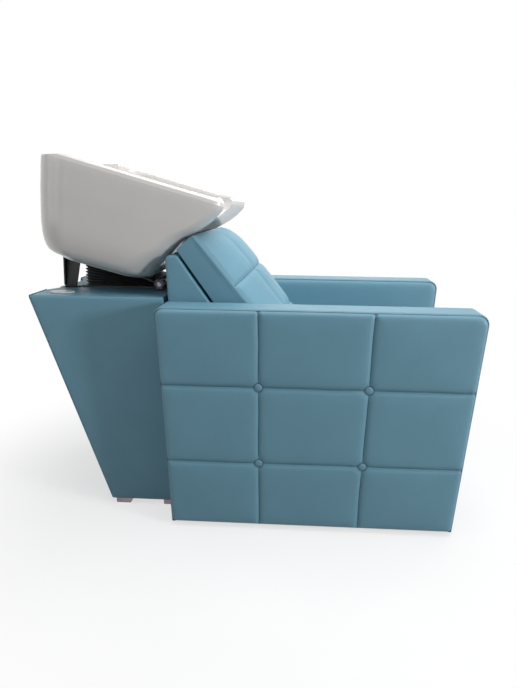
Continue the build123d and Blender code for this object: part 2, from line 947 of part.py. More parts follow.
def top_outline(inset, z):
    """Plan outline of the pedestal's top at one height."""
    half = pedestal_half - inset
    corner = pedestal_corner_radius - inset / 2
    points = [(rear_x + inset, -half, z), (arm_rear_x - inset, -half, z)]
    points += [(arm_rear_x - inset, half, z), (rear_x + inset, half, z)]
    return FilletPolyline(*points, radius=[corner, corner / 2, corner / 2, corner], close=True)


def pedestal_top_board():
    """The top board, with the notch, the drain opening and the stay's slot."""
    path = top_outline(skin, top_board_low)
    plate = extrude(make_face(path), amount=carcass_board, dir=(0, 0, 1))
    slope = pedestal_outline(skin, top_board_low, top_board_high)
    plate = plate & side_slab(slope, 0, -pedestal_half, pedestal_half)
    plate -= rear_notch(top_board_low, top_board_high, skin)
    plate -= cap_plug_hole()
    return plate - hose_opening(top_board_low, top_board_high) - stay_passage()


def pedestal_top_pad():
    """The padded top between the side skins, drawn in along its upper edges."""
    plan = make_face(top_outline(skin, top_board_high))
    pad = extrude(plan, amount=top_padding - top_edge_drop, dir=(0, 0, 1))
    pad += loft(
        [
            make_face(top_outline(skin, pedestal_height - top_edge_drop)),
            make_face(top_outline(skin + top_edge_round / 4, pedestal_height - top_edge_drop / 4)),
            make_face(top_outline(skin + top_edge_round, pedestal_height)),
        ],
        ruled=True,
    )
    slope = pedestal_outline(skin, top_board_high, pedestal_height)
    pad = pad & side_slab(slope, 0, -pedestal_half, pedestal_half)
    pad -= rear_notch(top_board_high, pedestal_height + cut_overrun, 0)
    pad -= cap_plug_hole()
    return pad - hose_opening(top_board_high, pedestal_height) - stay_passage()


def pedestal_side_cover():
    """The padded skin on the right side of the pedestal."""
    points = pedestal_outline(skin, foot_height, pedestal_height)
    cover = side_slab(points, 0, -pedestal_half, -pedestal_half + skin)
    outer = cover.faces().sort_by(Axis.Y)[0]
    return fillet(outer.edges().sort_by(Axis.Z)[-1], cover_edge_radius)


def pedestal_rear_cover():
    """The padded skin on the rear slope, round the access panel and the notch."""
    rear = leaning_slab(0, skin, -pedestal_half, pedestal_half, foot_height, pedestal_height)
    upright = rear.faces().sort_by(Axis.X)[0].edges().filter_by(Axis.Y, reverse=True)
    rear = fillet(upright, cover_edge_radius)
    high = access_low + access_height
    half = access_width / 2
    rear -= leaning_slab(-cut_overrun, skin + 2 * cut_overrun, -half, half, access_low, high)
    return rear - rear_notch(top_board_low, pedestal_height + cut_overrun, 0)


def pedestal_feet():
    """Four block feet under the pedestal."""
    rear = pedestal_outline(skin, foot_height, pedestal_height)[0][0] + foot_inset
    front = arm_rear_x - foot_inset
    side = pedestal_half - skin
    feet = []
    for low_x in (rear, front - foot_length):
        foot = block(low_x, low_x + foot_length, -side, -side + foot_width, 0, foot_height)
        feet += [foot, mirrored(foot)]
    return group(feet)


def oval(length, width, low_z, high_z):
    """An upright oval bar at the cap's place."""
    plan = Ellipse(length / 2, width / 2)
    x = rear_x + cap_from_rear
    y = -pedestal_half + cap_from_side
    return Pos(x, y, low_z) * extrude(plan, amount=high_z - low_z)


def cap_plug_hole():
    """The oval hole that the cap's plug sits in."""
    grow = 2 * seat_clearance
    length = cap_length - 2 * cap_plug_inset + grow
    width = cap_width - 2 * cap_plug_inset + grow
    return oval(length, width, top_board_low - cut_overrun, pedestal_height + cut_overrun)


def top_cap():
    """The oval blanking cap near the pedestal's rear corner."""
    plate = oval(cap_length, cap_width, pedestal_height, pedestal_height + cap_height)
    upper = plate.faces().sort_by(Axis.Z)[-1]
    plate = fillet(upper.edges(), cap_height / 2)
    length = cap_length - 2 * cap_plug_inset
    width = cap_width - 2 * cap_plug_inset
    return plate + oval(length, width, pedestal_height - cap_plug, pedestal_height)


def base_beams():
    """Two beams that tie the pedestal to the seat carcass."""
    low_z = foot_height + carcass_board
    beams = []
    for y in (-beam_half_spacing, beam_half_spacing):
        beams.append(
            block(
                arm_rear_x - beam_start,
                arm_rear_x + beam_reach,
                y - beam_width / 2,
                y + beam_width / 2,
                low_z,
                low_z + beam_height,
            )
        )
    return group(beams)


# Hinge

def ear_inner():
    """Inner Y face of a bracket ear, outside the lug."""
    return lug_inner + lug_thickness + ear_gap


def hinge_bracket():
    """The plate on the pedestal's top with two ears that hold the pin."""
    low = pedestal_height
    high = pedestal_height + bracket_plate
    side = ear_inner() + ear_thickness
    plate = block(hinge_x - bracket_rear, hinge_x, -bracket_half_width, bracket_half_width, low, high)
    strip = block(hinge_x - ear_radius, hinge_x + bracket_front, -side, side, low, high)
    bracket = plate + strip
    for y in (-side, ear_inner()):
        web = block(hinge_x - ear_radius, hinge_x + ear_radius, y, y + ear_thickness, high, hinge_z)
        bracket += web + rod_along_y(ear_radius, y, y + ear_thickness, hinge_x, hinge_z)
    bracket -= rod_along_y(pin_radius + pin_clearance, -side, side, hinge_x, hinge_z)
    bracket -= hose_opening(low, high)
    for x, y in bracket_bolt_places():
        bracket -= rod_along_z(bolt_hole_radius, low, high, x, y)
    return bracket


def bracket_bolt_places():
    """Plan places of the bracket's bolts, inside the bellows."""
    inset = bellows_fold + bellows_wall + 2 * bolt_head_radius
    rear = hinge_x - bellows_rear + inset
    front = hinge_x - bellows_front - inset
    side = bellows_half_width - inset
    return [(rear, -side), (rear, side), (front, -side), (front, side)]


def bracket_bolts():
    """Bolts through the bracket, the pad and the top board."""
    top = pedestal_height + bracket_plate
    bolts = []
    for x, y in bracket_bolt_places():
        shank = rod_along_z(bolt_radius, top_board_low, top, x, y)
        bolts.append(shank + rod_along_z(bolt_head_radius, top, top + bolt_head_height, x, y))
    return group(bolts)


def bracket_bolt_holes():
    """Holes for the bracket's bolts through the padding and the board."""
    holes = []
    for x, y in bracket_bolt_places():
        holes.append(rod_along_z(bolt_hole_radius, top_board_low, pedestal_height, x, y))
    return holes


def hinge_pin():
    """The tilt axle, with a head on the left and room for the knob on the right."""
    side = ear_inner() + ear_thickness
    knob_end = side + knob_gap + knob_hub_width + knob_width
    pin = rod_along_y(pin_radius, -knob_end, side, hinge_x, hinge_z)
    return pin + rod_along_y(pin_head_radius, side, side + pin_head_height, hinge_x, hinge_z)


def hinge_bushes():
    """Plain bushes in the cradle's lugs."""
    bushes = []
    for y in (-lug_inner - lug_thickness, lug_inner):
        bush = rod_along_y(bush_radius, y, y + lug_thickness, 0, 0)
        bushes.append(on_hinge(bush - rod_along_y(pin_radius + pin_clearance, y, y + lug_thickness, 0, 0)))
    return group(bushes)


def tilt_knob():
    """The lobed hand knob that clamps the tilt, on the pin's right end."""
    side = ear_inner() + ear_thickness + knob_gap
    high = -side - knob_hub_width
    low = high - knob_width
    knob = rod_along_y(knob_radius, low, high, hinge_x, hinge_z)
    for index in range(knob_lobes):
        turn = 2 * math.pi * index / knob_lobes
        x = hinge_x + knob_radius * math.cos(turn)
        z = hinge_z + knob_radius * math.sin(turn)
        knob += rod_along_y(knob_lobe_radius, low, high, x, z)
    knob += rod_along_y(knob_hub_radius, high, -side, hinge_x, hinge_z)
    return knob - rod_along_y(pin_radius + pin_clearance, low, -side, hinge_x, hinge_z)


# Cradle, stay and bellows

def cradle_plate():
    """The steel plate under the basin, with two lugs on the hinge."""
    half = cradle_half_width
    points = [(-cradle_rear, -half), (-cradle_front, -half), (-cradle_front, half), (-cradle_rear, half)]
    path = FilletPolyline(*[(x, y, cradle_low) for x, y in points], radius=cradle_corner, close=True)
    plate = extrude(make_face(path), amount=cradle_thickness, dir=(0, 0, 1))
    plate -= rod_along_z(cradle_hole_radius, cradle_low, cradle_high, -drain_behind, 0)
    for y in (-lug_inner - lug_thickness, lug_inner):
        lug = rod_along_y(lug_radius, y, y + lug_thickness, 0, 0)
        lug += block(-cradle_front - 2 * lug_radius, 0, y, y + lug_thickness, -lug_radius / 2, cradle_high)
        plate += lug
    for y in (-lug_inner - lug_thickness, lug_inner):
        hole = rod_along_y(bush_radius + bush_clearance, y, y + lug_thickness, 0, 0)
        plate -= hole
    for x in stay_screw_places():
        plate -= rod_along_z(stay_screw_radius, cradle_low, cradle_high, x, stay_screw_y())
    return on_hinge(plate)


def cradle_pads():
    """Rubber pads between the cradle and the basin."""
    pads = []
    for x in (-pad_rear, -pad_front):
        for y in (-pad_half_spacing, pad_half_spacing):
            pads.append(on_hinge(rod_along_z(pad_radius, cradle_high, basin_floor, x, y)))
    return group(pads)


def stay_screw_y():
    """Y of the screws that hold the stay's foot."""
    return -stay_offset + stay_thickness + stay_foot_length / 2


def stay_screw_places():
    """Level X places of the stay's two screws."""
    middle = -(stay_front + stay_rear) / 2
    return [middle - stay_screw_spacing / 2, middle + stay_screw_spacing / 2]


def guide_stay():
    """The tapered angle-section stay that guides the basin and carries the stop pin."""
    front_y = -stay_offset + stay_thickness
    web_points = [
        (-stay_rear, cradle_low),
        (-stay_waist_rear, -stay_waist),
        (-stay_end_rear, -stay_length),
        (-stay_end_front, -stay_length),
        (-stay_waist_front, -stay_waist),
        (-stay_front, cradle_low),
    ]
    stay = side_slab(web_points, 0, -stay_offset, front_y)
    edge = [
        (-stay_rear, -stay_offset, cradle_low),
        (-stay_rear, -stay_offset - stay_flange, cradle_low),
        (-stay_rear, -stay_offset - stay_flange_end, -stay_waist),
        (-stay_rear, -stay_offset, -stay_waist),
    ]
    lean = math.atan((stay_rear - stay_waist_rear) / (stay_waist + cradle_low))
    flange = extrude(make_face(Polyline(*edge, close=True)), amount=stay_flange_thickness, dir=(1, 0, 0))
    pivot = Pos(-stay_rear, 0, cradle_low)
    stay += pivot * Rot(Y=-math.degrees(lean)) * pivot.inverse() * flange
    foot = block(
        -stay_rear,
        -stay_front,
        front_y - stay_thickness,
        front_y + stay_foot_length,
        cradle_low - stay_thickness,
        cradle_low,
    )
    stay += foot
    stay -= block(-2 * stay_rear, 0, -2 * stay_rear, 0, cradle_low, stay_rear)
    for x in stay_screw_places():
        stay -= rod_along_z(stay_screw_radius, cradle_low - stay_thickness, cradle_low, x, stay_screw_y())
    stop_x, stop_z = stop_pin_place()
    stay -= rod_along_y(stop_pin_radius, -stay_offset, front_y, stop_x, stop_z)
    return on_hinge(stay)


def stop_pin_place():
    """Level place of the stop pin, which meets the top board from below at rest."""
    turn = math.radians(rest_tilt)
    rest_z = top_board_low - stop_pin_radius - seat_clearance
    level_z = (rest_z - hinge_z - stop_pin_behind * math.sin(turn)) / math.cos(turn)
    return -stop_pin_behind, level_z


def stop_pin():
    """The pin across the stay's lower end."""
    x, z = stop_pin_place()
    front_y = -stay_offset + stay_thickness
    pin = rod_along_y(stop_pin_radius, -stay_offset, front_y + stop_pin_length, x, z)
    return on_hinge(pin)


def stay_screws():
    """Screws that hold the stay's foot to the cradle."""
    screws = []
    low = cradle_low - stay_thickness
    for x in stay_screw_places():
        shank = rod_along_z(stay_screw_radius, low, cradle_high, x, stay_screw_y())
        head = rod_along_z(2 * stay_screw_radius, low - stay_screw_radius, low, x, stay_screw_y())
        screws.append(on_hinge(shank + head))
    return group(screws)


def fan_outline(angle, grow):
    """One section of the bellows on a plane through the fan's axis, tilted by an angle."""
    centre_x, centre_z = fan_centre()
    turn = math.radians(angle)
    rear = hinge_x - bellows_rear - grow
    front = hinge_x - bellows_front + grow
    half = bellows_half_width + grow
    corner = bellows_corner + grow
    points = []
    for x, y in ((rear, -half), (front, -half), (front, half), (rear, half)):
        along = x - centre_x
        points.append((centre_x + along * math.cos(turn), y, centre_z - along * math.sin(turn)))
    return make_face(FilletPolyline(*points, radius=corner, close=True))


def fan_centre():
    """Side view point where the bellows' first and last planes meet."""
    turn = math.radians(rest_tilt)
    low = bellows_low()
    high = cradle_low - seat_clearance
    rise = hinge_z + high / math.cos(turn) - low
    return hinge_x + rise / math.tan(turn), low


def bellows_low():
    """Height of the bellows' lower face."""
    return pedestal_height + bracket_plate + seat_clearance


def bellows_stack(shrink):
    """A solid fan of folds, drawn in by a wall thickness."""
    sections = []
    steps = 2 * bellows_folds
    for step in range(steps + 1):
        fold = -bellows_fold if step % 2 else 0
        sections.append(fan_outline(rest_tilt * step / steps, fold - shrink))
    return loft(sections, ruled=True)


def drain_bellows():
    """The rubber bellows round the drain, opening like a fan towards the rear."""
    return bellows_stack(0) - bellows_stack(bellows_wall)


# Basin, built level about the hinge axis

def hull_section(height, rear, front, half, corner_rear, corner_front, bow, hollow):
    """One level outline of the basin: hollow front, rounded corners and a bowed rear."""
    inner_rear = half - corner_rear
    inner_front = half - corner_front
    bend = 1 - math.cos(math.pi / 4)

    def corner(x, y, radius_x, radius_y):
        return (x - radius_x * bend, y - radius_y * bend, height)

    points = [
        (front, -inner_front, height),
        (front, inner_front, height),
        (front - corner_front, half, height),
        (-rear + corner_rear, half, height),
        (-rear, inner_rear, height),
        (-rear, -inner_rear, height),
        (-rear + corner_rear, -half, height),
        (front - corner_front, -half, height),
    ]
    lines = [
        ThreePointArc(points[0], (front - hollow, 0, height), points[1]),
        ThreePointArc(points[1], corner(front, half, corner_front, corner_front), points[2]),
        Line(points[2], points[3]),
        ThreePointArc(points[3], corner(-rear, half, -corner_rear, corner_rear), points[4]),
        ThreePointArc(points[4], (-rear - bow, 0, height), points[5]),
        ThreePointArc(points[5], corner(-rear, -half, -corner_rear, -corner_rear), points[6]),
        Line(points[6], points[7]),
        ThreePointArc(points[7], corner(front, -half, corner_front, -corner_front), points[0]),
    ]
    return make_face(Wire(lines))


def hull():
    """The outside of the basin as one solid, from its floor up through its rolled rim."""
    height_shares = (0, 0.055, 0.154, 0.272, 0.41, 0.567, 0.685, 0.803, 0.921, 1)
    rear_shares = (0.885, 0.945, 0.973, 0.987, 0.994, 0.998, 1, 1, 1, 0.996)
    front_shares = (-0.306, -0.14, -0.03, 0.09, 0.255, 0.42, 0.62, 0.815, 0.955, 1)
    width_shares = (0.604, 0.76, 0.865, 0.91, 0.935, 0.955, 0.971, 0.984, 0.996, 1)
    rear_corner_shares = (0.73, 0.88, 0.96, 1, 1, 1, 1, 1, 1, 1)
    front_corner_shares = (0.83, 0.97, 1, 0.92, 0.72, 0.56, 0.47, 0.4, 0.375, 0.36)
    hollow_shares = (0.05, 0.06, 0.1, 0.4, 0.8, 1, 1, 1, 1, 1)
    high = basin_rim - rim_roll
    walls = []
    for index, height_share in enumerate(height_shares):
        walls.append(
            hull_section(
                basin_floor + (high - basin_floor) * height_share,
                basin_behind * rear_shares[index],
                basin_ahead * front_shares[index],
                basin_half_width * width_shares[index],
                rear_corner * rear_corner_shares[index],
                front_corner * front_corner_shares[index],
                rear_bow,
                front_hollow * hollow_shares[index],
            )
        )
    roll_shares = (0, 0.62, 0.9, 1)
    inset_shares = (0, 0.14, 0.45, 1)
    top = []
    for roll_share, inset_share in zip(roll_shares, inset_shares):
        inset = rim_inset * inset_share
        top.append(
            hull_section(
                high + rim_roll * roll_share,
                basin_behind * rear_shares[-1] - inset,
                basin_ahead - inset,
                basin_half_width - inset,
                rear_corner,
                front_corner * front_corner_shares[-1],
                rear_bow,
                front_hollow,
            )
        )
    return loft(walls) + loft(top, ruled=True)


def bowl():
    """The hollow of the basin, to be taken out of the hull."""
    height_shares = (0, 0.09, 0.26, 0.48, 0.7, 0.89, 1)
    rear_shares = (0.88, 0.94, 0.98, 0.995, 1, 1, 1)
    front_shares = (-0.4, -0.19, 0.02, 0.25, 0.57, 0.79, 0.84)
    width_shares = (0.5, 0.73, 0.88, 0.95, 0.985, 1, 1)
    corner_shares = (0.45, 0.6, 0.72, 0.75, 0.75, 0.75, 0.75)
    hollow_shares = (0.05, 0.1, 0.5, 1, 1, 1, 1)
    rear = basin_behind - deck_length
    half = basin_half_width - bowl_wall
    high = basin_rim - rim_roll
    walls = []
    for index, height_share in enumerate(height_shares):
        walls.append(
            hull_section(
                bowl_bottom + (high - bowl_bottom) * height_share,
                rear * rear_shares[index],
                basin_ahead * front_shares[index],
                half * width_shares[index],
                rear_corner * corner_shares[index],
                rear_corner * corner_shares[index],
                rear_bow,
                front_hollow * hollow_shares[index],
            )
        )
    flare = []
    roll_shares = (0, 0.6, 1, 2)
    grow_shares = (0, 0.15, 0.6, 1.6)
    for roll_share, grow_share in zip(roll_shares, grow_shares):
        grow = rim_roll * grow_share / 2
        flare.append(
            hull_section(
                high + rim_roll * roll_share,
                rear + grow,
                basin_ahead * front_shares[-1] + grow,
                half + grow,
                rear_corner * corner_shares[-1] + grow,
                rear_corner * corner_shares[-1] + grow,
                rear_bow,
                front_hollow,
            )
        )
    return loft(walls) + loft(flare, ruled=True)


def rim_slope():
    """What is cut off the rear of the rim, which lies level when the basin is raised."""
    reach = 2 * basin_behind
    above = block(-reach, 0, -reach, reach, 0, reach)
    return Pos(-rear_slope_start, 0, basin_rim) * Rot(Y=-rest_tilt) * above


def deck_recess():
    """The lower tap deck between the rear ends of the rim."""
    high = basin_rim + cut_overrun
    low = basin_rim - deck_drop
    front = -basin_behind + deck_length + rim_roll
    rear = -basin_behind - rear_bow - cut_overrun
    slot = block(rear, front, -deck_half_width, deck_half_width, low, high)
    return fillet(slot.edges().filter_by(Axis.X).group_by(Axis.Z)[0], deck_drop / 2)


def neck_cut():
    """The round trough in the front wall for the client's neck."""
    bar = Cylinder(neck_radius, basin_ahead)
    return Pos(neck_from + basin_ahead / 2, 0, basin_rim + neck_rise) * Rot(Y=90) * bar


def service_pocket():
    """The hollow under the tap deck, open below, for the tap's nut and hoses."""
    rear = -basin_behind + service_rear_wall
    front = -basin_behind + deck_length - service_front_wall
    high = basin_rim - deck_drop - deck_thickness
    return block(rear, front, -service_half_width, service_half_width, basin_floor - cut_overrun, high)


def basin():
    """The glazed basin."""
    shell = hull() - bowl() - rim_slope() - deck_recess() - neck_cut() - service_pocket()
    high = basin_rim - deck_drop
    shell -= rod_along_z(tap_hole_radius, high - deck_thickness, high, -basin_behind + tap_from_rear, 0)
    recess_low = bowl_bottom - drain_recess_depth
    shell -= rod_along_z(drain_recess_radius, recess_low, bowl_bottom + cut_overrun, -drain_behind, 0)
    shell -= rod_along_z(tail_radius + tail_clearance, basin_floor, recess_low, -drain_behind, 0)
    return on_hinge(shell)


# Drain, built level about the hinge axis

def drain_gasket():
    """The rubber ring under the drain flange."""
    low = bowl_bottom - drain_recess_depth
    ring = rod_along_z(flange_radius, low, low + gasket_thickness, -drain_behind, 0)
    ring -= rod_along_z(tail_radius + nut_clearance, low, low + gasket_thickness, -drain_behind, 0)
    return on_hinge(ring)


def drain_tail():
    """The drain flange, its threaded tail and the spigot for the hose."""
    low = bowl_bottom - drain_recess_depth + gasket_thickness
    high = low + flange_thickness
    x = -drain_behind
    body = rod_along_z(flange_radius, low, high, x, 0) + rod_along_z(tail_radius, tail_bottom, high, x, 0)
    body -= rod_along_z(tail_bore, tail_bottom + flange_thickness, high, x, 0)
    body += rod_along_z(spigot_radius, spigot_bottom, tail_bottom, x, 0)
    body -= rod_along_z(spigot_bore, spigot_bottom, tail_bottom + flange_thickness, x, 0)
    return on_hinge(body)


def drain_nut():
    """The six-sided nut under the cradle."""
    plan = RegularPolygon(nut_radius, 6)
    high = cradle_low
    low = high - nut_height
    nut = Pos(-drain_behind, 0, low) * extrude(plan, amount=nut_height)
    return on_hinge(nut - rod_along_z(tail_radius + nut_clearance, low, high, -drain_behind, 0))


def hair_strainer():
    """The lift-out basket in the drain, with a small knob."""
    seat = bowl_bottom - drain_recess_depth + gasket_thickness + flange_thickness
    low = seat + strainer_clearance
    x = -drain_behind
    lip = rod_along_z(strainer_lip, low, low + strainer_wall, x, 0)
    cup = rod_along_z(strainer_radius, low - strainer_depth, low + strainer_wall, x, 0)
    inner = strainer_radius - strainer_wall
    cup -= rod_along_z(inner, low - strainer_depth + strainer_wall, low + strainer_wall, x, 0)
    lip -= rod_along_z(inner, low, low + strainer_wall, x, 0)
    basket = lip + cup
    bottom = low - strainer_depth
    for index in range(strainer_holes):
        turn = 2 * math.pi * index / strainer_holes
        hole_x = x + inner * math.cos(turn) * 2 / 3
        hole_y = inner * math.sin(turn) * 2 / 3
        basket -= rod_along_z(strainer_hole_radius, bottom, bottom + strainer_wall, hole_x, hole_y)
    floor = bottom + strainer_wall
    knob = rod_along_z(strainer_knob_radius, floor, floor + strainer_knob_height, x, 0)
    upper = knob.faces().sort_by(Axis.Z)[-1]
    knob = fillet(upper.edges(), strainer_knob_radius / 2)
    return on_hinge(basket + knob)


def hose_points():
    """Route of the drain hose, from the spigot down to the outlet."""
    turn = math.radians(rest_tilt)

    def below(level_z):
        x = hinge_x - drain_behind * math.cos(turn) + level_z * math.sin(turn)
        z = hinge_z + drain_behind * math.sin(turn) + level_z * math.cos(turn)
        return (x, 0, z)

    outlet_x = arm_rear_x - outlet_behind
    outlet_low = foot_height + carcass_board
    start = tail_bottom - seat_clearance
    upper = below(start - hose_upper_run)
    return [below(start), upper, (outlet_x, 0, hose_lower_bend), (outlet_x, 0, outlet_low)]


def bend_radii(points):
    """The largest even bend at each inner point of a route."""
    radii = []
    for before, point, after in zip(points, points[1:], points[2:]):
        first = Vector(*point) - Vector(*before)
        second = Vector(*after) - Vector(*point)
        turn = math.radians(first.get_angle(second))
        reach_share = 0.45
        radii.append(reach_share * min(first.length, second.length) / math.tan(turn / 2))
    return radii


def drain_hose():
    """The waste hose inside the pedestal."""
    points = hose_points()
    radii = bend_radii(points)
    print("hose bend radii", [round(radius) for radius in radii])
    route = FilletPolyline(*points, radius=radii)
    start = Plane(route @ 0, z_dir=route % 0)
    inner = spigot_radius + hose_clearance
    wall = start * (Circle(inner + hose_wall) - Circle(inner))
    hose = sweep(wall, path=route)
    print("hose volume", round(hose.volume), "expected", round(wall.area * route.length))
    return hose


def hose_clamp():
    """A round hose clamp with its screw housing, lying on Z zero."""
    inner = spigot_radius + hose_clearance + hose_wall
    outer = inner + hose_clamp_thickness
    band = rod_along_z(outer, 0, hose_clamp_width, 0, 0)
    housing = block(
        -hose_clamp_width,
        hose_clamp_width,
        outer - hose_clamp_thickness,
        outer + hose_clamp_width / 2,
        hose_clamp_thickness / 2,
        hose_clamp_width - hose_clamp_thickness / 2,
    )
    return band + housing - rod_along_z(inner, 0, hose_clamp_width, 0, 0)


def upper_hose_clamp():
    """The clamp that holds the hose on the spigot."""
    low = tail_bottom - hose_clamp_inset - hose_clamp_width
    return on_hinge(Pos(-drain_behind, 0, low) * hose_clamp())


def lower_hose_clamp():
    """The clamp that holds the hose on the outlet."""
    low = foot_height + carcass_board + hose_clamp_inset
    return Pos(arm_rear_x - outlet_behind, 0, low) * hose_clamp()


def waste_outlet():
    """The pipe stub in the floor board that the hose ends on."""
    x = arm_rear_x - outlet_behind
    low = foot_height - outlet_flange_thickness
    stub = rod_along_z(outlet_radius, foot_height, outlet_top, x, 0)
    stub += rod_along_z(outlet_flange_radius, low, foot_height, x, 0)
    return stub - rod_along_z(outlet_bore, low, outlet_top, x, 0)


parts = {
    "right_arm_boards": arm_boards(),
    "right_arm_rails": arm_rails(),
    "right_arm_band": arm_band(),
    "right_arm_outer_pad": arm_outer_pad(),
    "right_arm_inner_pad": arm_inner_pad(),
}
for name in list(parts):
    parts[name.replace("right", "left")] = mirrored(parts[name])

parts["arm_buttons"] = both_sides(arm_buttons())
parts["arm_glides"] = both_sides(arm_glides())
parts["arm_bolts"] = both_sides(arm_bolts())
parts["carcass_sides"] = carcass_sides()
parts["carcass_cross_rails"] = carcass_cross()
parts["seat_deck"] = seat_deck()
parts["seat_cushion"] = seat_cushion()
parts["seat_front_board"] = seat_front_board()
parts["seat_front_pad"] = seat_front_pad()
parts["backrest_board"] = backrest_board()
parts["backrest_cushion"] = backrest_cushion()
parts["back_support_cover"] = support_cover()
parts["back_support_ribs"] = support_frame()
parts["backrest_spacers"] = backrest_spacers()
parts["backrest_bolts"] = backrest_bolts()
parts["pedestal_side_boards"] = pedestal_side_boards()
parts["pedestal_front_board"] = pedestal_front_board()
parts["pedestal_rear_board"] = pedestal_rear_board()
parts["pedestal_access_panel"] = access_panel()
parts["pedestal_access_screws"] = access_screws()
parts["pedestal_floor_board"] = pedestal_floor_board()
parts["pedestal_top_board"] = pedestal_top_board() - bracket_bolt_holes()
parts["pedestal_top_pad"] = pedestal_top_pad() - bracket_bolt_holes()
parts["pedestal_right_cover"] = pedestal_side_cover()
parts["pedestal_left_cover"] = mirrored(pedestal_side_cover())
parts["pedestal_rear_cover"] = pedestal_rear_cover()
parts["pedestal_feet"] = pedestal_feet()
parts["top_cap"] = top_cap()
parts["base_beams"] = base_beams()
parts["hinge_bracket"] = hinge_bracket()
parts["bracket_bolts"] = bracket_bolts()
parts["hinge_pin"] = hinge_pin()
parts["hinge_bushes"] = hinge_bushes()
parts["tilt_knob"] = tilt_knob()
parts["cradle_plate"] = cradle_plate()
parts["cradle_pads"] = cradle_pads()
parts["guide_stay"] = guide_stay()
parts["stop_pin"] = stop_pin()
parts["stay_screws"] = stay_screws()
parts["drain_bellows"] = drain_bellows()
parts["basin"] = basin()
parts["drain_gasket"] = drain_gasket()
parts["drain_tail"] = drain_tail()
parts["drain_nut"] = drain_nut()
parts["hair_strainer"] = hair_strainer()
parts["drain_hose"] = drain_hose()
parts["upper_hose_clamp"] = upper_hose_clamp()
parts["lower_hose_clamp"] = lower_hose_clamp()
parts["waste_outlet"] = waste_outlet()

os.makedirs("parts", exist_ok=True)
for name, solid in parts.items():
    export_step(solid, f"parts/{name}.step")
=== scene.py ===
import math

import bpy
import bmesh
import numpy as np
from bpy.props import FloatProperty, FloatVectorProperty, PointerProperty
from mathutils import Matrix


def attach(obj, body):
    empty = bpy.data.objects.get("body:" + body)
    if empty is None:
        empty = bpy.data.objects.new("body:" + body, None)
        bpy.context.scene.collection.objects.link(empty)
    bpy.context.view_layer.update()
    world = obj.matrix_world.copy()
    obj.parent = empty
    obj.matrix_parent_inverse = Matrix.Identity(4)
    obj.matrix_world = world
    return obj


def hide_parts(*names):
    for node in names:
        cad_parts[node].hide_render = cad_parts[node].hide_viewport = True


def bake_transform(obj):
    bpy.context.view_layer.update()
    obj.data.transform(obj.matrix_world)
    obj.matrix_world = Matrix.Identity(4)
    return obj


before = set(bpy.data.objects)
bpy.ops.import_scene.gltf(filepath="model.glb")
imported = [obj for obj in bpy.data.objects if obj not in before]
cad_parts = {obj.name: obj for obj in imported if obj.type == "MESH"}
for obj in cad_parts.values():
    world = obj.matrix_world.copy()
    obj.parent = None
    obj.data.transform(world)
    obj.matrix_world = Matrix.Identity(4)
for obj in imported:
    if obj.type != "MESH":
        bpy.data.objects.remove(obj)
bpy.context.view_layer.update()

bl_info = {
    "name": "Hair washing bed",
    "version": (1, 0, 0),
    "blender": (4, 5, 0),
    "location": "3D View > Sidebar > Washing bed",
    "description": "Upholstery, bellows, hose, finishes and studio of a hair washing bed",
    "category": "Object",
}

# Sizes in metres. X runs to the client's feet, Y to the client's left, Z up.

# Arms, with corner radii from low rear round by low front to high rear, and seeds by side
ARM_REAR, ARM_FRONT = -0.234, 0.616
ARM_LOW, ARM_HIGH = 0.012, 0.660
ARM_RADII = (0.012, 0.012, 0.030, 0.022)
ARM_SEAM_Y, ARM_OUTER_BACK = 0.3397, 0.3290
ARM_INNER_SEAM_Y, ARM_INNER_BACK = 0.2455, 0.2560
ARM_COLUMNS = (0.316, 0.666)
ARM_ROWS = (0.327, 0.683)
ARM_OUTER_STEPS, ARM_INNER_STEPS = (46, 46), (40, 36)
FACE_LIFT, BAND_LIFT = 0.002, 0.001
BAND_THICKNESS, BAND_STEPS = 0.012, 26
BAND_DIP, BAND_REACH = 0.0032, 0.011
BAND_SINK, BAND_SIDE_GAP, BAND_TUCK = 0.0002, 0.0006, 0.001
# The band's wave, and the painted shade on its tucked back
BAND_WAVE, BAND_BACK_SHADE = 0.0003, 0.6
ARM_SEEDS, BAND_SEEDS = {-1: 11, 1: 23}, {-1: 31, 1: 37}
BUTTON_RADIUS, BUTTON_HEIGHT = 0.0112, 0.0042
BUTTON_WAIST, BUTTON_SEAT = 0.93, -0.0012
BUTTON_RINGS, BUTTON_SIDES = 9, 26

# Stitches
THREAD_HALF, THREAD_RADIUS, THREAD_SIDES = 0.0019, 0.00065, 5
THREAD_TAPER, THREAD_TONE, THREAD_LIFT = 0.7, 0.42, 0.0002
ROW_THREAD_OFFSET = 0.0042
BAND_THREAD_INSET, BAND_THREAD_SINK = 0.0055, 0.0004
BACKREST_PITCH = 0.0048
BACKREST_THREAD_SHARES = (0.016, 0.984)
SIDE_THREAD_SHARE, SIDE_THREAD_LIFT = 0.10, 0.0007

# How a sewn face swells, and the painted shade in its seams
CROWDING = 0.13
RIPPLE_LENGTHS = (0.31, 0.22, 0.16, 0.12, 0.09, 0.065, 0.05)
RIPPLE_SIZE = 0.6
PUFF_NEAR, PUFF_FAR, FAR_REACH = 0.6, 0.4, 3
PUCKER_LENGTH, PUCKER_FADE, PUCKER_START = 0.023, 0.020, 0.005
TUFT_RADIUS, TUFT_DEPTH = 0.017, 0.75
# Painted shade: its strength and width in a seam, and its width round a button, at a well's edge and at a
# rim
SEAM_SHADE, SEAM_SHADE_WIDTH, RING_SHADE_WIDTH = 0.5, 0.0024, 0.0042
WELL_EDGE, WELL_SHADE_WIDTH = 0.001, 0.002
RIM_SHADE_WIDTH = 0.003
SWAY_REACH = 0.05

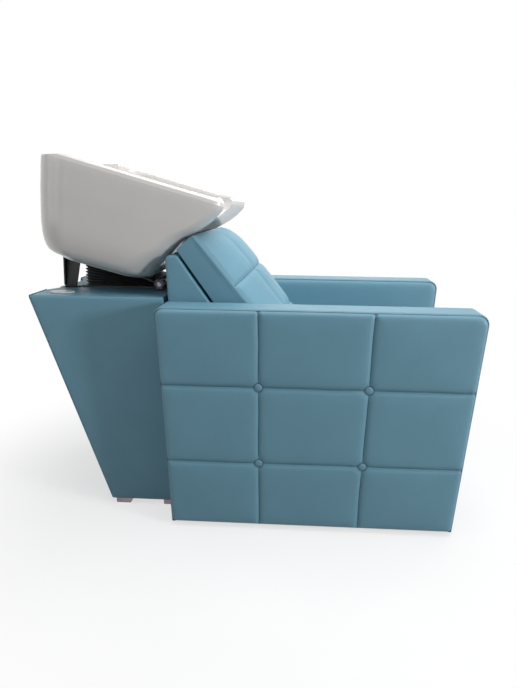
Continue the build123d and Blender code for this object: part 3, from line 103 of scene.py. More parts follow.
# Backrest and the support behind it, in side view
FRONT_TOP, FRONT_BOTTOM = (-0.145, 0.8265), (0.1514, 0.467)
REAR_TOP, REAR_BOTTOM = (-0.1898, 0.7897), (0.0321, 0.467)
BACKREST_HALF, BACKREST_CROWN, BACKREST_PUFF = 0.231, 0.061, 0.006
BACKREST_COLUMNS = (1 / 3, 2 / 3)
BACKREST_ROWS = (0.36, 0.69)
SUPPORT_CORNERS = ((-0.223, 0.3455), (0.108, 0.3455), (-0.1884, 0.777), (-0.223, 0.777))
SUPPORT_RADII = (0.006, 0.004, 0.017, 0.017)
SUPPORT_HALF, SUPPORT_EDGE, SUPPORT_WAVE = 0.2308, 0.009, 0.0006
SUPPORT_STEPS, SUPPORT_ARC_STEPS = 26, 6

# Seat
SEAT_REAR, SEAT_FRONT = 0.1165, 0.6055
SEAT_LOW, SEAT_EDGE, SEAT_EDGE_DIP = 0.3455, 0.441, 0.002
SEAT_CROWN, SEAT_RISE = 0.013, 0.003
SEAT_HALF = 0.2302
PANEL_LOW, PANEL_HIGH = 0.046, 0.3445
PANEL_SEAM_X, PANEL_BACK_X = 0.5985, 0.5925

# Pedestal
PEDESTAL_REAR, PEDESTAL_FRONT = -0.616, -0.234
PEDESTAL_LEAN, PEDESTAL_HALF = 0.158, 0.2325
PEDESTAL_LOW, PEDESTAL_HIGH = 0.017, 0.665
SKIN, SKIN_OVERLAP, SEAM_DEPTH = 0.005, 0.0003, 0.0032
SKIN_GAP, FRONT_GAP, SLOPE_GAP = 0.0005, 0.0006, 0.001
# Seeds of the skins' unevenness by side, and the strength of the painted seam shade on the skins and on
# the door
SKIN_SEEDS, SKIN_SHADE, DOOR_SHADE = {-1: 61, 1: 67}, 0.7, 0.5
NOTCH_DEPTH, NOTCH_MOUTH, NOTCH_FLOOR, NOTCH_DROP = 0.032, 0.125, 0.075, 0.038
ACCESS_HALF, ACCESS_LOW, ACCESS_HIGH = 0.150, 0.110, 0.490
ACCESS_DEPTH, DOOR_SINK, DOOR_GAP = 0.0042, 0.0022, 0.0012
TOP_LOW, TOP_REAR_Z, TOP_ROUNDING = 0.6455, 0.655, 0.003
TOP_RADII = (0.013, 0.006, 0.006, 0.013, 0.010, 0.010, 0.010, 0.010)
HOSE_HOLE, HOSE_HOLE_RADIUS = (-0.474, -0.374, -0.044, 0.044), 0.012
STAY_HOLE, STAY_HOLE_RADIUS = (-0.590, -0.530, -0.079, -0.046), 0.005

# Bellows and hose
PIVOT_X, PIVOT_Z, PIVOT_GAP = -0.2301, 0.6693, 0.0002
BELLOWS_REAR, BELLOWS_FRONT, BELLOWS_HALF = -0.524, -0.290, 0.060
BELLOWS_CORNER, BELLOWS_FOLD, BELLOWS_WALL = 0.024, 0.006, 0.002
BELLOWS_FIRST_SHARE, BELLOWS_TURN_SHARE = 0.006, 0.988
BELLOWS_FOLDS, STEPS_PER_FOLD = 8, 8
REST_TILT = 14.5
HINGE_X, HINGE_Z = -0.278, 0.682
DRAIN_BEHIND = 0.142
HOSE_START, HOSE_UPPER_RUN = -0.0263, 0.162
HOSE_BORE, HOSE_WALL, HOSE_GAP = 0.0201, 0.0025, 0.0003
HOSE_SKIN_GAP, HOSE_RIB, HOSE_RIB_PITCH, HOSE_PLAIN_END = 0.0004, 0.0011, 0.0125, 0.045
HOSE_SIDES, HOSE_BLEND_RISE, HOSE_BEND_SHARE = 28, 0.05, 0.45
OUTLET_X, OUTLET_LOW, LOWER_BEND = -0.364, 0.050, 0.240

# Studio: name, place, target and size of each softbox, and the setting of its power
SOFTBOXES = (
    ("key_softbox", (0.55, -0.22, 3.1), (0, 0, 0.5), 2.6, "key_power"),
    ("side_softbox", (3.3, -1.75, 1.35), (-0.2, -0.2, 0.4), 0.5, "side_power"),
    ("rear_softbox", (-3.0, -1.5, 1.5), (-0.5, -0.1, 0.8), 2.2, "rear_power"),
    ("far_softbox", (0.2, 3.2, 1.9), (0, 0, 0.6), 2.2, "far_power"),
)
FLOOR_HALF, FLOOR_DROP, FLOOR_RETURN = 9.0, 0.0004, 0.33
FADE_START, FADE_END, WHITE_SHARE = 0.66, 1.3, 0.64

# Grids and meshes


def crowded(shares, steps):
    """Places from 0 to 1 that crowd beside every seam: t less 0.13 sin(2 pi t) in each cell."""
    edges = np.concatenate([[0.0], shares, [1.0]])
    t = np.linspace(0, 1, steps + 1)[:-1]
    eased = t - CROWDING * np.sin(2 * np.pi * t)
    runs = [a + (b - a) * eased for a, b in zip(edges[:-1], edges[1:])]
    return np.concatenate(runs + [[1.0]])


def grid_faces(rows, columns, wrap_rows=False, wrap_columns=False):
    """Quads between neighbouring points of a grid whose points are stored row by row."""
    r = np.arange(rows if wrap_rows else rows - 1)
    c = np.arange(columns if wrap_columns else columns - 1)
    r, c = np.meshgrid(r, c, indexing="ij")
    r2, c2 = (r + 1) % rows, (c + 1) % columns
    quads = np.stack([r * columns + c, r * columns + c2, r2 * columns + c2, r2 * columns + c], -1)
    return quads.reshape(-1, 4).tolist()


def tube_faces(rows, columns):
    """Quads of a tube whose rings are stored one after another, and a face over each end."""
    faces = grid_faces(rows, columns, wrap_columns=True)
    faces.append(tuple(range(columns)))
    faces.append(tuple((rows - 1) * columns + c for c in range(columns)))
    return faces


def rectangle(low_a, high_a, low_b, high_b):
    """The corners of a rectangle in its plan, in order from the low one."""
    return [(low_a, low_b), (high_a, low_b), (high_a, high_b), (low_a, high_b)]


def in_space(flat, y):
    """Points in space from places in side view and their distances across."""
    return np.stack([flat[..., 0], np.broadcast_to(y, flat.shape[:-1]), flat[..., 1]], -1)


def unit(vector):
    """The vector at length one."""
    return vector / (np.linalg.norm(vector) + 1e-12)


def add_object(name, data):
    """An object with its data, put into the scene."""
    item = bpy.data.objects.new(name, data)
    bpy.context.scene.collection.objects.link(item)
    return item


def add_mesh(name, vertices, faces, nodes, body, slot, crease=None, sharp=50):
    """One closed smooth piece that stands for CAD nodes, with the finish of its slot."""
    mesh = bpy.data.meshes.new(name)
    mesh.from_pydata(np.asarray(vertices, float).reshape(-1, 3).tolist(), [], faces)
    # Painted shade in seams and folds, and the threads' own darker tone, kept on the points for the
    # material
    if crease is not None:
        layer = mesh.attributes.new("crease", "FLOAT", "POINT")
        layer.data.foreach_set("value", np.asarray(crease, np.float32).ravel())
    work = bmesh.new()
    work.from_mesh(mesh)
    bmesh.ops.remove_doubles(work, verts=work.verts, dist=1e-6)
    bmesh.ops.recalc_face_normals(work, faces=work.faces)
    work.to_mesh(mesh)
    work.free()
    mesh.shade_smooth()
    mesh.set_sharp_from_angle(angle=math.radians(sharp))
    piece = add_object(name, mesh)
    mesh.materials.append(finish_of(slot))
    if body:
        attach(piece, body)
    if nodes:
        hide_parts(*nodes)
    return piece


def add_cover(name, body, node, slot="vinyl_on_foam", sharp=50):
    """A closed cover that stands for one CAD node."""
    vertices, faces, painted_shades = body
    piece = add_mesh(name, vertices, faces, [node], "base", slot, painted_shades, sharp)


def bulge(distance, reach):
    """Share of full height at a distance from a seam: 1 less the cube of what is left of the reach."""
    return 1 - (1 - np.clip(distance / reach, 0, 1)) ** 3


def ripple(a, b, seed):
    """Gentle unevenness from -1 to 1: a sum of seven sine waves in seeded directions."""
    random = np.random.default_rng(seed)
    total = np.zeros(np.broadcast(a, b).shape)
    for length in RIPPLE_LENGTHS:
        angle, phase = random.uniform(0, 2 * np.pi, 2)
        total += length * np.sin(2 * np.pi * (a * math.cos(angle) + b * math.sin(angle)) / length + phase)
    return total / RIPPLE_SIZE


def cell_distance(s, t, columns, rows, length_s, length_t, radii, inner_radius):
    """Distance in metres to the nearest side of the sewn cell around each point, corners rounded,
    the distances to its nearest upright and level sides, and the place in the cell from 0 to 1."""
    columns = np.concatenate([[0.0], columns, [1.0]])
    rows = np.concatenate([[0.0], rows, [1.0]])
    i = np.clip(np.searchsorted(columns, s, side="right") - 1, 0, len(columns) - 2)
    j = np.clip(np.searchsorted(rows, t, side="right") - 1, 0, len(rows) - 2)
    low_s, high_s = s - columns[i], columns[i + 1] - s
    low_t, high_t = t - rows[j], rows[j + 1] - t
    left, under = low_s < high_s, low_t < high_t
    across = np.minimum(low_s, high_s) * length_s
    along = np.minimum(low_t, high_t) * length_t
    first_s, last_s = (i == 0) & left, (i == len(columns) - 2) & ~left
    first_t, last_t = (j == 0) & under, (j == len(rows) - 2) & ~under
    radius = np.full(s.shape, inner_radius)
    corners = ((first_s, first_t), (last_s, first_t), (last_s, last_t), (first_s, last_t))
    for (at_s, at_t), value in zip(corners, radii):
        radius = np.where(at_s & at_t, value, radius)
    short = np.minimum(across, along)
    round_off = radius - np.hypot(np.maximum(radius - across, 0), np.maximum(radius - along, 0))
    near = np.where(short < radius, round_off, short)
    cell_s = np.clip(low_s / (low_s + high_s), 0, 1)
    cell_t = np.clip(low_t / (low_t + high_t), 0, 1)
    return np.maximum(near, 0), across, along, cell_s, cell_t


class Panel:
    """A padded, sewn face: a four-cornered plan whose cells puff up between their seams."""

    # Seams as shares across and up, corner radii, heights and reaches of the padding, and places
    # of buttons, a sunken well and a dip in the upper side
    usual = dict(
        columns=(), rows=(), radii=(0.006,) * 4, inner_radius=0.010, rise=0.005, reach=0.016,
        dome=0.0015, drop=0.0, edge_reach=0.012, crown=0.0, unevenness=0.0004, pucker=0.0003,
        sway=0.0, buttons=(), well=None, dip=None, seed=1,
    )

    def __init__(self, corners, origin, side, up, out, **look):
        self.corners = np.array(corners, float)
        self.place = [np.array(v, float) for v in (origin, side, up, out)]
        for name, value in self.usual.items():
            setattr(self, name, look.get(name, value))
        c = self.corners
        self.length_s = (math.dist(c[0], c[1]) + math.dist(c[3], c[2])) / 2
        self.length_t = (math.dist(c[0], c[3]) + math.dist(c[1], c[2])) / 2
        self.sizes = (self.length_s, self.length_t)

    def drawn_in(self, s, t):
        """Shares moved so that the plan's corners are round: the square to disc map in each corner,
        a root(1 - b b / 2) by b root(1 - a a / 2)."""
        s, t = s.copy(), t.copy()
        for k, radius in enumerate(self.radii):
            share_s, share_t = radius / self.length_s, radius / self.length_t
            far_s, far_t = k in (1, 2), k in (2, 3)
            ds = 1 - s if far_s else s
            dt = 1 - t if far_t else t
            inside = (ds < share_s) & (dt < share_t)
            a, b = 1 - ds / share_s, 1 - dt / share_t
            a2 = a * np.sqrt(np.maximum(1 - b * b / 2, 0))
            b2 = b * np.sqrt(np.maximum(1 - a * a / 2, 0))
            ds, dt = share_s * (1 - a2), share_t * (1 - b2)
            s = np.where(inside, 1 - ds if far_s else ds, s)
            t = np.where(inside, 1 - dt if far_t else dt, t)
        return s, t

    def relief(self, s, t, edge):
        """Heights and shares of painted shade in the seams, round each button and at the well's edge. The
        height is the crown, a puff that rises by the cube law from each seam, a sine dome in each cell,
        puckers beside the seams and a pit under each button."""
        near, across, along, cell_s, cell_t = cell_distance(
            s, t, self.columns, self.rows, *self.sizes, self.radii, self.inner_radius
        )
        a, b = s * self.length_s, t * self.length_t
        far_reach = FAR_REACH * self.reach
        puff = PUFF_NEAR * bulge(near, self.reach) + PUFF_FAR * bulge(near, far_reach)
        height = self.rise * puff - self.drop * (1 - bulge(edge, self.edge_reach))
        height += self.dome * np.sin(np.pi * cell_s) * np.sin(np.pi * cell_t)
        height += self.crown * (1 - np.abs(2 * s - 1) ** 7) * (1 - (2 * t - 1) ** 2)
        height += self.unevenness * ripple(a, b, self.seed) * bulge(near, far_reach)
        seam_run = np.where(across < along, b, a)
        waves = np.sin(2 * np.pi * seam_run / PUCKER_LENGTH + 2.2 * ripple(a, b, self.seed + 1))
        height += self.pucker * waves * np.exp(-near / PUCKER_FADE) * (1 - np.exp(-near / PUCKER_START))
        # Painted shade in the seams; the lines below paint it also round each button and at the well's
        # edge
        crease = SEAM_SHADE * np.exp(-near / SEAM_SHADE_WIDTH)
        for button_s, button_t in self.buttons:
            away = np.hypot((s - button_s) * self.length_s, (t - button_t) * self.length_t)
            pit = np.exp(-((away / TUFT_RADIUS) ** 2)) * bulge(near, self.reach)
            height -= self.rise * TUFT_DEPTH * pit
            crease = np.maximum(crease, np.exp(-np.abs(away - BUTTON_RADIUS) / RING_SHADE_WIDTH))
        if self.well:
            low_s, high_s, low_t, high_t, depth = self.well
            inside = np.minimum(np.minimum(a - low_s, high_s - a), np.minimum(b - low_t, high_t - b))
            height -= depth * np.clip(inside / WELL_EDGE + 0.5, 0, 1)
            crease = np.maximum(crease, np.exp(-np.abs(inside) / WELL_SHADE_WIDTH))
        return height, crease

    def plan(self, s, t, edge):
        """Places in the plan: its corners blended, less the dip in its upper side, plus a sway."""
        low, high = (1 - s)[..., None], s[..., None]
        c = self.corners
        bottom = low * c[0] + high * c[1]
        top = low * c[3] + high * c[2]
        a, b = s * self.length_s, t * self.length_t
        if self.dip:
            half, floor, depth = self.dip
            off = np.abs(a - self.length_s / 2)
            share = np.clip((half - off) / (half - floor), 0, 1)
            top = top - (share * depth)[..., None] * np.array([0, 1.0])
        flat = (1 - t)[..., None] * bottom + t[..., None] * top
        sway = self.sway * ripple(a, b, self.seed + 2) * bulge(edge, SWAY_REACH)
        return flat + sway[..., None] * np.array([1.0, 0.7])

    def surface(self, s, t, lift=0.0):
        """Points of the face, raised by a lift, and its shares of painted shade."""
        s, t = self.drawn_in(np.asarray(s, float), np.asarray(t, float))
        edge = cell_distance(s, t, (), (), *self.sizes, self.radii, self.inner_radius)[0]
        height, crease = self.relief(s, t, edge)
        flat = self.plan(s, t, edge)
        origin, side, up, out = self.place
        points = origin + flat[..., :1] * side + flat[..., 1:] * up + (height + lift)[..., None] * out
        return points, crease

    def grid(self, steps_s, steps_t, extra_s=(), extra_t=()):
        """The face as a grid whose rows and columns crowd beside the seams."""
        s = np.unique(np.concatenate([crowded(self.columns, steps_s), extra_s]))
        t = np.unique(np.concatenate([crowded(self.rows, steps_t), extra_t]))
        t, s = np.meshgrid(t, s, indexing="ij")
        return self.surface(s, t)


def rim_loop(rows, columns):
    """Indices round the edge of a grid, in order."""
    first = list(range(columns))
    right = [r * columns + columns - 1 for r in range(1, rows)]
    last = [(rows - 1) * columns + c for c in range(columns - 2, -1, -1)]
    left = [r * columns for r in range(rows - 2, 0, -1)]
    return first + right + last + left


def closed_body(points, crease, back, shares, swell=0.0, inset=0.004):
    """A grid closed into a body: its rim is drawn back in rings to a back loop that a face caps.
    The rings carry painted shade that fades with their distance from the rim.
    """
    rows, columns = points.shape[:2]
    loop = rim_loop(rows, columns)
    flat = points.reshape(-1, 3)
    rim = flat[loop]
    target = back(rim)
    inward = unit(target.mean(0) - flat.mean(0))
    outward = rim - flat.mean(0)
    outward -= (outward @ inward)[:, None] * inward
    outward /= np.linalg.norm(outward, axis=1, keepdims=True) + 1e-9
    vertices, faces, painted_shades = [flat], grid_faces(rows, columns), [crease.ravel()]
    before, total = loop, len(flat)
    for share in shares:
        ring = rim + (target - rim) * share
        ring = ring + outward * swell * math.sin(math.pi * share)
        if share == shares[-1]:
            ring = ring - outward * inset
        vertices.append(ring)
        # Painted shade where the cover turns back into its seam, fading away from the rim
        painted_shades.append(np.exp(-np.linalg.norm(ring - rim, axis=1) / RIM_SHADE_WIDTH))
        now = list(range(total, total + len(loop)))
        for k in range(len(loop)):
            n = (k + 1) % len(loop)
            faces.append((before[k], before[n], now[n], now[k]))
        before, total = now, total + len(loop)
    faces.append(tuple(before))
    return np.concatenate(vertices), faces, np.concatenate(painted_shades)


def onto_plane(axis, place):
    """A function that moves a rim onto the plane at a place along one axis."""

    def back(rim):
        moved = rim.copy()
        moved[:, axis] = place
        return moved

    return back


def rounded_path(corners, radii, closed, step=0.006, arc_steps=9):
    """Points along straight runs with an arc at each corner, and their normals to the right."""
    corners = np.array(corners, float)
    count, arcs = len(corners), []
    for k in range(count):
        if not closed and k in (0, count - 1):
            arcs.append(corners[k][None])
            continue
        back = unit(corners[k - 1] - corners[k])
        on = unit(corners[(k + 1) % count] - corners[k])
        half = math.acos(np.clip(back @ on, -1, 1)) / 2
        centre = corners[k] + unit(back + on) * radii[k] / math.sin(half)
        start = corners[k] + back * radii[k] / math.tan(half) - centre
        stop = corners[k] + on * radii[k] / math.tan(half) - centre
        first = math.atan2(start[1], start[0])
        turn = (math.atan2(stop[1], stop[0]) - first + math.pi) % (2 * math.pi) - math.pi
        angles = first + turn * np.linspace(0, 1, arc_steps)
        arcs.append(centre + radii[k] * np.stack([np.cos(angles), np.sin(angles)], 1))
    path = []
    for k, arc in enumerate(arcs):
        path.append(arc)
        if closed or k < count - 1:
            goal = arcs[(k + 1) % count][0]
            pieces = max(int(math.dist(arc[-1], goal) / step), 1)
            path.append(arc[-1] + (goal - arc[-1]) * np.linspace(0, 1, pieces + 1)[1:-1, None])
    path = np.concatenate(path)
    ahead, behind = np.roll(path, -1, 0), np.roll(path, 1, 0)
    if not closed:
        ahead[-1], behind[0] = path[-1], path[0]
    run = ahead - behind
    run /= np.linalg.norm(run, axis=1, keepdims=True)
    return path, np.stack([run[:, 1], -run[:, 0]], 1)


# Stitches


def thread_line(spots, out):
    """Places of the threads on one line, their directions along it and their normals."""
    run = np.gradient(spots, axis=0)
    run /= np.linalg.norm(run, axis=1, keepdims=True)
    return spots, run, np.broadcast_to(out, run.shape)


def seam_threads(panel, s, t):
    """The threads along one line of a panel, whose shares across and up are given."""
    s, t = np.broadcast_arrays(s, t)
    return thread_line(panel.surface(s, t, THREAD_LIFT)[0], panel.place[3])


def stitches(name, lines):
    """Short threads lying along seams: each a spindle of five sides, 3.8 mm long and 1.3 mm thick."""
    places, runs, outs = (np.concatenate(part) for part in zip(*lines))
    across = np.cross(runs, outs)
    sides = THREAD_SIDES
    angles = np.arange(sides) * 2 * np.pi / sides
    ring = np.cos(angles)[:, None, None] * across + np.sin(angles)[:, None, None] * outs
    ring = np.moveaxis(ring, 0, 1) * THREAD_RADIUS
    tips = places[:, None] + runs[:, None] * np.array([-THREAD_HALF, THREAD_HALF])[None, :, None]
    low = places[:, None] - runs[:, None] * THREAD_HALF * THREAD_TAPER + ring
    high = places[:, None] + runs[:, None] * THREAD_HALF * THREAD_TAPER + ring
    vertices = np.concatenate([tips, low, high], 1)
    each = vertices.shape[1]
    faces = []
    for base in range(0, len(places) * each, each):
        for k in range(sides):
            n = (k + 1) % sides
            a, b = base + 2 + k, base + 2 + n
            faces.append((base, b, a))
            faces.append((a, b, b + sides, a + sides))
            faces.append((base + 1, a + sides, b + sides))
    tone = np.full(vertices.shape[:2], THREAD_TONE)
    add_mesh(name, vertices, faces, [], "base", "vinyl_on_foam", tone, sharp=80)


# Arms


def arm_panel(side, outer):
    """The sewn outer face of an arm with three by three cells, or its plain inner face."""
    look = bpy.context.scene.washbed_upholstery
    facing = side if outer else -side
    y = ARM_SEAM_Y if outer else ARM_INNER_SEAM_Y
    low, high = ARM_LOW + FACE_LIFT, ARM_HIGH - BAND_DIP
    rear, front = ARM_REAR + BAND_DIP, ARM_FRONT - BAND_DIP
    corners = rectangle(rear, front, low, high)
    options = dict(radii=ARM_RADII, drop=0.002, edge_reach=0.010, seed=ARM_SEEDS[side], pucker=0.0)
    if outer:
        options.update(
            columns=ARM_COLUMNS, rows=ARM_ROWS, rise=look.face_rise, reach=look.seam_reach,
            dome=0.0016, pucker=look.pucker, sway=0.0011,
            buttons=[(s, t) for s in ARM_COLUMNS for t in ARM_ROWS],
        )
    else:
        options.update(rise=0.0075, reach=0.028, dome=0.0025)
    return Panel(corners, (0, side * y, 0), (1, 0, 0), (0, 0, 1), (0, facing, 0), **options)


def arm_face(side, label, outer):
    """A padded arm face closed by a flat back inside the band."""
    panel = arm_panel(side, outer)
    points, crease = panel.grid(*(ARM_OUTER_STEPS if outer else ARM_INNER_STEPS))
    back = onto_plane(1, side * (ARM_OUTER_BACK if outer else ARM_INNER_BACK))
    kind = "outer" if outer else "inner"
    body = closed_body(points, crease, back, (0.25, 1.0), inset=0.003)
    add_cover(f"{label}_arm_{kind}_face", body, f"{label}_arm_{kind}_pad")
    return panel


def arm_band(side, label):
    """The padded band over an arm's rear, top and front: an outline swept with a crowned section.
    Gives back the lines of thread along both its edges."""
    low = ARM_LOW + BAND_LIFT
    corners = ((ARM_REAR, low), (ARM_REAR, ARM_HIGH), (ARM_FRONT, ARM_HIGH), (ARM_FRONT, low))
    path, normals = rounded_path(corners, (0, ARM_RADII[3], ARM_RADII[2], 0), closed=False)
    normals = -normals
    near, far = ARM_INNER_SEAM_Y + BAND_SIDE_GAP, ARM_SEAM_Y - BAND_SIDE_GAP
    width = far - near
    across = crowded((), BAND_STEPS)
    y = near + width * across
    edge = np.minimum(across, 1 - across) * width
    padded = -BAND_DIP * (1 - bulge(edge, BAND_REACH)) - BAND_SINK
    section_y = np.concatenate([y, [y[-1] - BAND_TUCK, y[0] + BAND_TUCK]])
    depth = np.concatenate([padded, [-BAND_THICKNESS, -BAND_THICKNESS]])
    # Painted shade along both edges, where the band meets the faces, and on its tucked back
    tone = np.concatenate([np.exp(-edge / RIM_SHADE_WIDTH), [BAND_BACK_SHADE, BAND_BACK_SHADE]])
    run = np.linspace(0, 1, len(path))[:, None]
    wave = BAND_WAVE * ripple(run * 2.1, section_y[None], BAND_SEEDS[side])
    lift = depth[None] - np.abs(wave) * (depth > -BAND_THICKNESS)[None]
    flat = path[:, None] + normals[:, None] * lift[..., None]
    points = in_space(flat, side * section_y)
    body = (points, tube_faces(*lift.shape), np.broadcast_to(tone, lift.shape))
    add_cover(f"{label}_arm_band_cover", body, f"{label}_arm_band")
    lines = []
    deep = -BAND_DIP * (1 - bulge(BAND_THREAD_INSET, BAND_REACH)) - BAND_THREAD_SINK
    for offset in (BAND_THREAD_INSET, width - BAND_THREAD_INSET):
        spots = in_space(path + normals * deep, side * (near + offset))
        lines.append([part[:-1] for part in thread_line(spots, in_space(normals, 0.0))])
    return lines


def arm_threads(label, panel, band_lines):
    """Stitches along both edges of an arm's band and beside the level seams of its face."""
    count = int(panel.length_s / bpy.context.scene.washbed_upholstery.stitch_pitch)
    s = np.linspace(0.006, 0.994, count)
    lines = list(band_lines)
    for row in ARM_ROWS:
        for offset in (-ROW_THREAD_OFFSET, ROW_THREAD_OFFSET):
            lines.append(seam_threads(panel, s, row + offset / panel.length_t))
    stitches(f"{label}_arm_stitches", lines)


def covered_buttons(panels):
    """Covered buttons at the crossings of the seams, each a profile turned round its own axis: the
    radius goes as sin(t pi / 2) to the power 0.8, the height as cos(t pi / 2) to the power 0.9."""
    t = np.linspace(0, np.pi / 2, BUTTON_RINGS)
    radius = np.append(BUTTON_RADIUS * np.sin(t) ** 0.8, BUTTON_RADIUS * BUTTON_WAIST)
    height = np.append(BUTTON_HEIGHT * np.cos(t) ** 0.9, BUTTON_SEAT)
    rings, sides = len(radius), BUTTON_SIDES
    # Painted shade on each button's rim, darkest at its widest ring
    tone = np.repeat(np.clip((radius / BUTTON_RADIUS) ** 10, 0, 1) * 0.7, sides)
    angle = np.linspace(0, 2 * np.pi, sides, endpoint=False)
    vertices, faces = [], []
    for panel in panels:
        side, up, out = panel.place[1:]
        disc = (np.cos(angle)[:, None] * side + np.sin(angle)[:, None] * up)[None]
        for place in panel.buttons:
            centre = panel.surface(*np.array(place)[:, None])[0][0]
            base = len(vertices) * rings * sides
            points = centre + disc * radius[:, None, None] + out * height[:, None, None]
            vertices.append(points.reshape(-1, 3))
            for face in grid_faces(rings, sides, wrap_columns=True):
                faces.append(tuple(base + k for k in face))
            faces.append(tuple(base + (rings - 1) * sides + k for k in range(sides)))
    add_mesh(
        "arm_covered_buttons", np.concatenate(vertices), faces, ["arm_buttons"], "base",
        "vinyl_on_foam", np.tile(tone, len(vertices)), sharp=70,
    )


# Backrest, support and seat


def backrest_panel():
    """The crowned front of the backrest with its sewn channels."""
    look = bpy.context.scene.washbed_upholstery
    top, bottom = np.array(FRONT_TOP), np.array(FRONT_BOTTOM)
    down = unit(bottom - top)
    length = math.dist(top, bottom)
    half = BACKREST_HALF
    return Panel(
        rectangle(0, length, -half, half), (top[0], 0, top[1]), (down[0], 0, down[1]), (0, 1, 0),
        (-down[1], 0, down[0]),
        columns=BACKREST_ROWS, rows=BACKREST_COLUMNS, radii=(0.004,) * 4, inner_radius=0.006,
        rise=0.008, reach=0.020, dome=0.001, drop=0.003, edge_reach=0.008,
        crown=BACKREST_CROWN - BACKREST_PUFF, pucker=look.pucker * 1.3, unevenness=0.0006, seed=41,
    )


def backrest():
    """The backrest: crowned front, flat sides that taper to the rear face, and stitched seams."""
    panel = backrest_panel()
    points, crease = panel.grid(44, 44)
    top, rear_top = np.array(FRONT_TOP), np.array(REAR_TOP)
    rear_run = np.array(REAR_BOTTOM) - rear_top
    down = unit(np.array(FRONT_BOTTOM) - top)

    def back(rim):
        share = np.clip(((rim[:, [0, 2]] - top) @ down) / panel.length_s, 0, 1)
        return in_space(rear_top + share[:, None] * rear_run, rim[:, 1])

    shares = (0.03, 0.08, 0.3, 0.6, 0.9, 0.97, 1.0)
    body = closed_body(points, crease, back, shares, swell=0.0012, inset=0.006)
    add_cover("backrest_upholstery", body, "backrest_cushion")
    s = np.linspace(0.01, 0.99, int(panel.length_s / BACKREST_PITCH))
    lines = [seam_threads(panel, s, share) for share in BACKREST_THREAD_SHARES]
    for side, edge in ((-1, 0.0), (1, 1.0)):
        rim = panel.surface(*np.broadcast_arrays(s, edge))[0]
        spots = rim + (back(rim) - rim) * SIDE_THREAD_SHARE
        spots[:, 1] = side * (BACKREST_HALF + SIDE_THREAD_LIFT)
        lines.append(thread_line(spots, np.array([0, side, 0.0])))
    stitches("backrest_stitches", lines)


def back_support():
    """The padded wedge behind the backrest: its rounded side outline carried across, and drawn in
    by a quarter arc at each end."""
    path, normals = rounded_path(SUPPORT_CORNERS, SUPPORT_RADII, closed=True, step=0.012)
    area = 0.5 * np.sum(path[:, 0] * np.roll(path[:, 1], -1) - path[:, 1] * np.roll(path[:, 0], -1))
    normals = normals * np.sign(area)
    flat_half = SUPPORT_HALF - SUPPORT_EDGE
    angle = np.linspace(0, np.pi / 2, SUPPORT_ARC_STEPS)
    ends_y = flat_half + SUPPORT_EDGE * np.sin(angle)
    ends_in = SUPPORT_EDGE * (1 - np.cos(angle))
    middle = np.linspace(-flat_half, flat_half, SUPPORT_STEPS)[1:-1]
    y = np.concatenate([-ends_y[::-1], middle, ends_y])
    inset = np.concatenate([ends_in[::-1], np.zeros(len(middle)), ends_in])
    run = np.linspace(0, 1.6, len(path))[None]
    uneven = SUPPORT_WAVE * np.abs(ripple(y[:, None], run, 47))
    flat = path[None] - normals[None] * (inset[:, None] + uneven)[..., None]
    points = in_space(flat, y[:, None])
    rows, columns = points.shape[:2]
    body = (points, tube_faces(rows, columns), np.zeros(rows * columns))
    add_cover("back_support_upholstery", body, "back_support_cover")


def seat_cushion():
    """The boxed seat cushion with its low crown."""
    corners = rectangle(SEAT_REAR, SEAT_FRONT, -SEAT_HALF, SEAT_HALF)
    panel = Panel(
        corners, (0, 0, SEAT_EDGE - SEAT_EDGE_DIP), (1, 0, 0), (0, 1, 0), (0, 0, 1),
        radii=(0.012,) * 4, rise=0.004, reach=0.02, dome=0.001, drop=0.004, edge_reach=0.012,
        crown=SEAT_CROWN - SEAT_RISE, unevenness=0.0007, pucker=0.0004, seed=53,
    )
    points, crease = panel.grid(70, 66)
    shares = (0.04, 0.10, 0.3, 0.55, 0.8, 0.93, 0.97, 1.0)
    body = closed_body(points, crease, onto_plane(2, SEAT_LOW), shares, swell=0.0006, inset=0.004)
    add_cover("seat_cushion_cover", body, "seat_cushion")


def seat_front():
    """The padded panel below the seat's front."""
    corners = rectangle(-SEAT_HALF, SEAT_HALF, PANEL_LOW, PANEL_HIGH)
    panel = Panel(
        corners, (PANEL_SEAM_X, 0, 0), (0, 1, 0), (0, 0, 1), (1, 0, 0), rise=0.0045, reach=0.02,
        dome=0.001, drop=0.001, seed=59,
    )
    points, crease = panel.grid(60, 40)
    body = closed_body(points, crease, onto_plane(0, PANEL_BACK_X), (0.5, 1.0), inset=0.001)
    add_cover("seat_front_cover", body, "seat_front_pad")


# Pedestal


def slope_x(z):
    """The pedestal's rear edge at a height."""
    return PEDESTAL_REAR + PEDESTAL_LEAN * (PEDESTAL_HIGH - z) / (PEDESTAL_HIGH - PEDESTAL_LOW)


def pedestal_side(side, label):
    """The vinyl skin on one side of the pedestal, rolled round its upper and rear edges."""
    low, high = PEDESTAL_LOW + SKIN_GAP, PEDESTAL_HIGH - SKIN_GAP
    front = PEDESTAL_FRONT - FRONT_GAP
    corners = (
        (slope_x(low) + SLOPE_GAP, low), (front, low), (front, high), (slope_x(high) + SLOPE_GAP, high),
    )
    panel = Panel(
        corners, (0, side * (PEDESTAL_HALF - SEAM_DEPTH), 0), (1, 0, 0), (0, 0, 1), (0, side, 0),
        radii=(0.004, 0.003, 0.003, 0.008), rise=0.0028, reach=0.014, dome=0.0004, drop=0.001,
        edge_reach=0.006, unevenness=0.0003, pucker=0.0, seed=SKIN_SEEDS[side],
    )
    points, crease = panel.grid(56, 64)
    back = onto_plane(1, side * (PEDESTAL_HALF - SKIN + SKIN_OVERLAP))
    # Painted shade in the seams, weaker on the skins
    body = closed_body(points, crease * SKIN_SHADE, back, (1.0,), inset=0.0005)
    add_cover(f"pedestal_{label}_skin", body, f"pedestal_{label}_cover", slot="vinyl_skin")


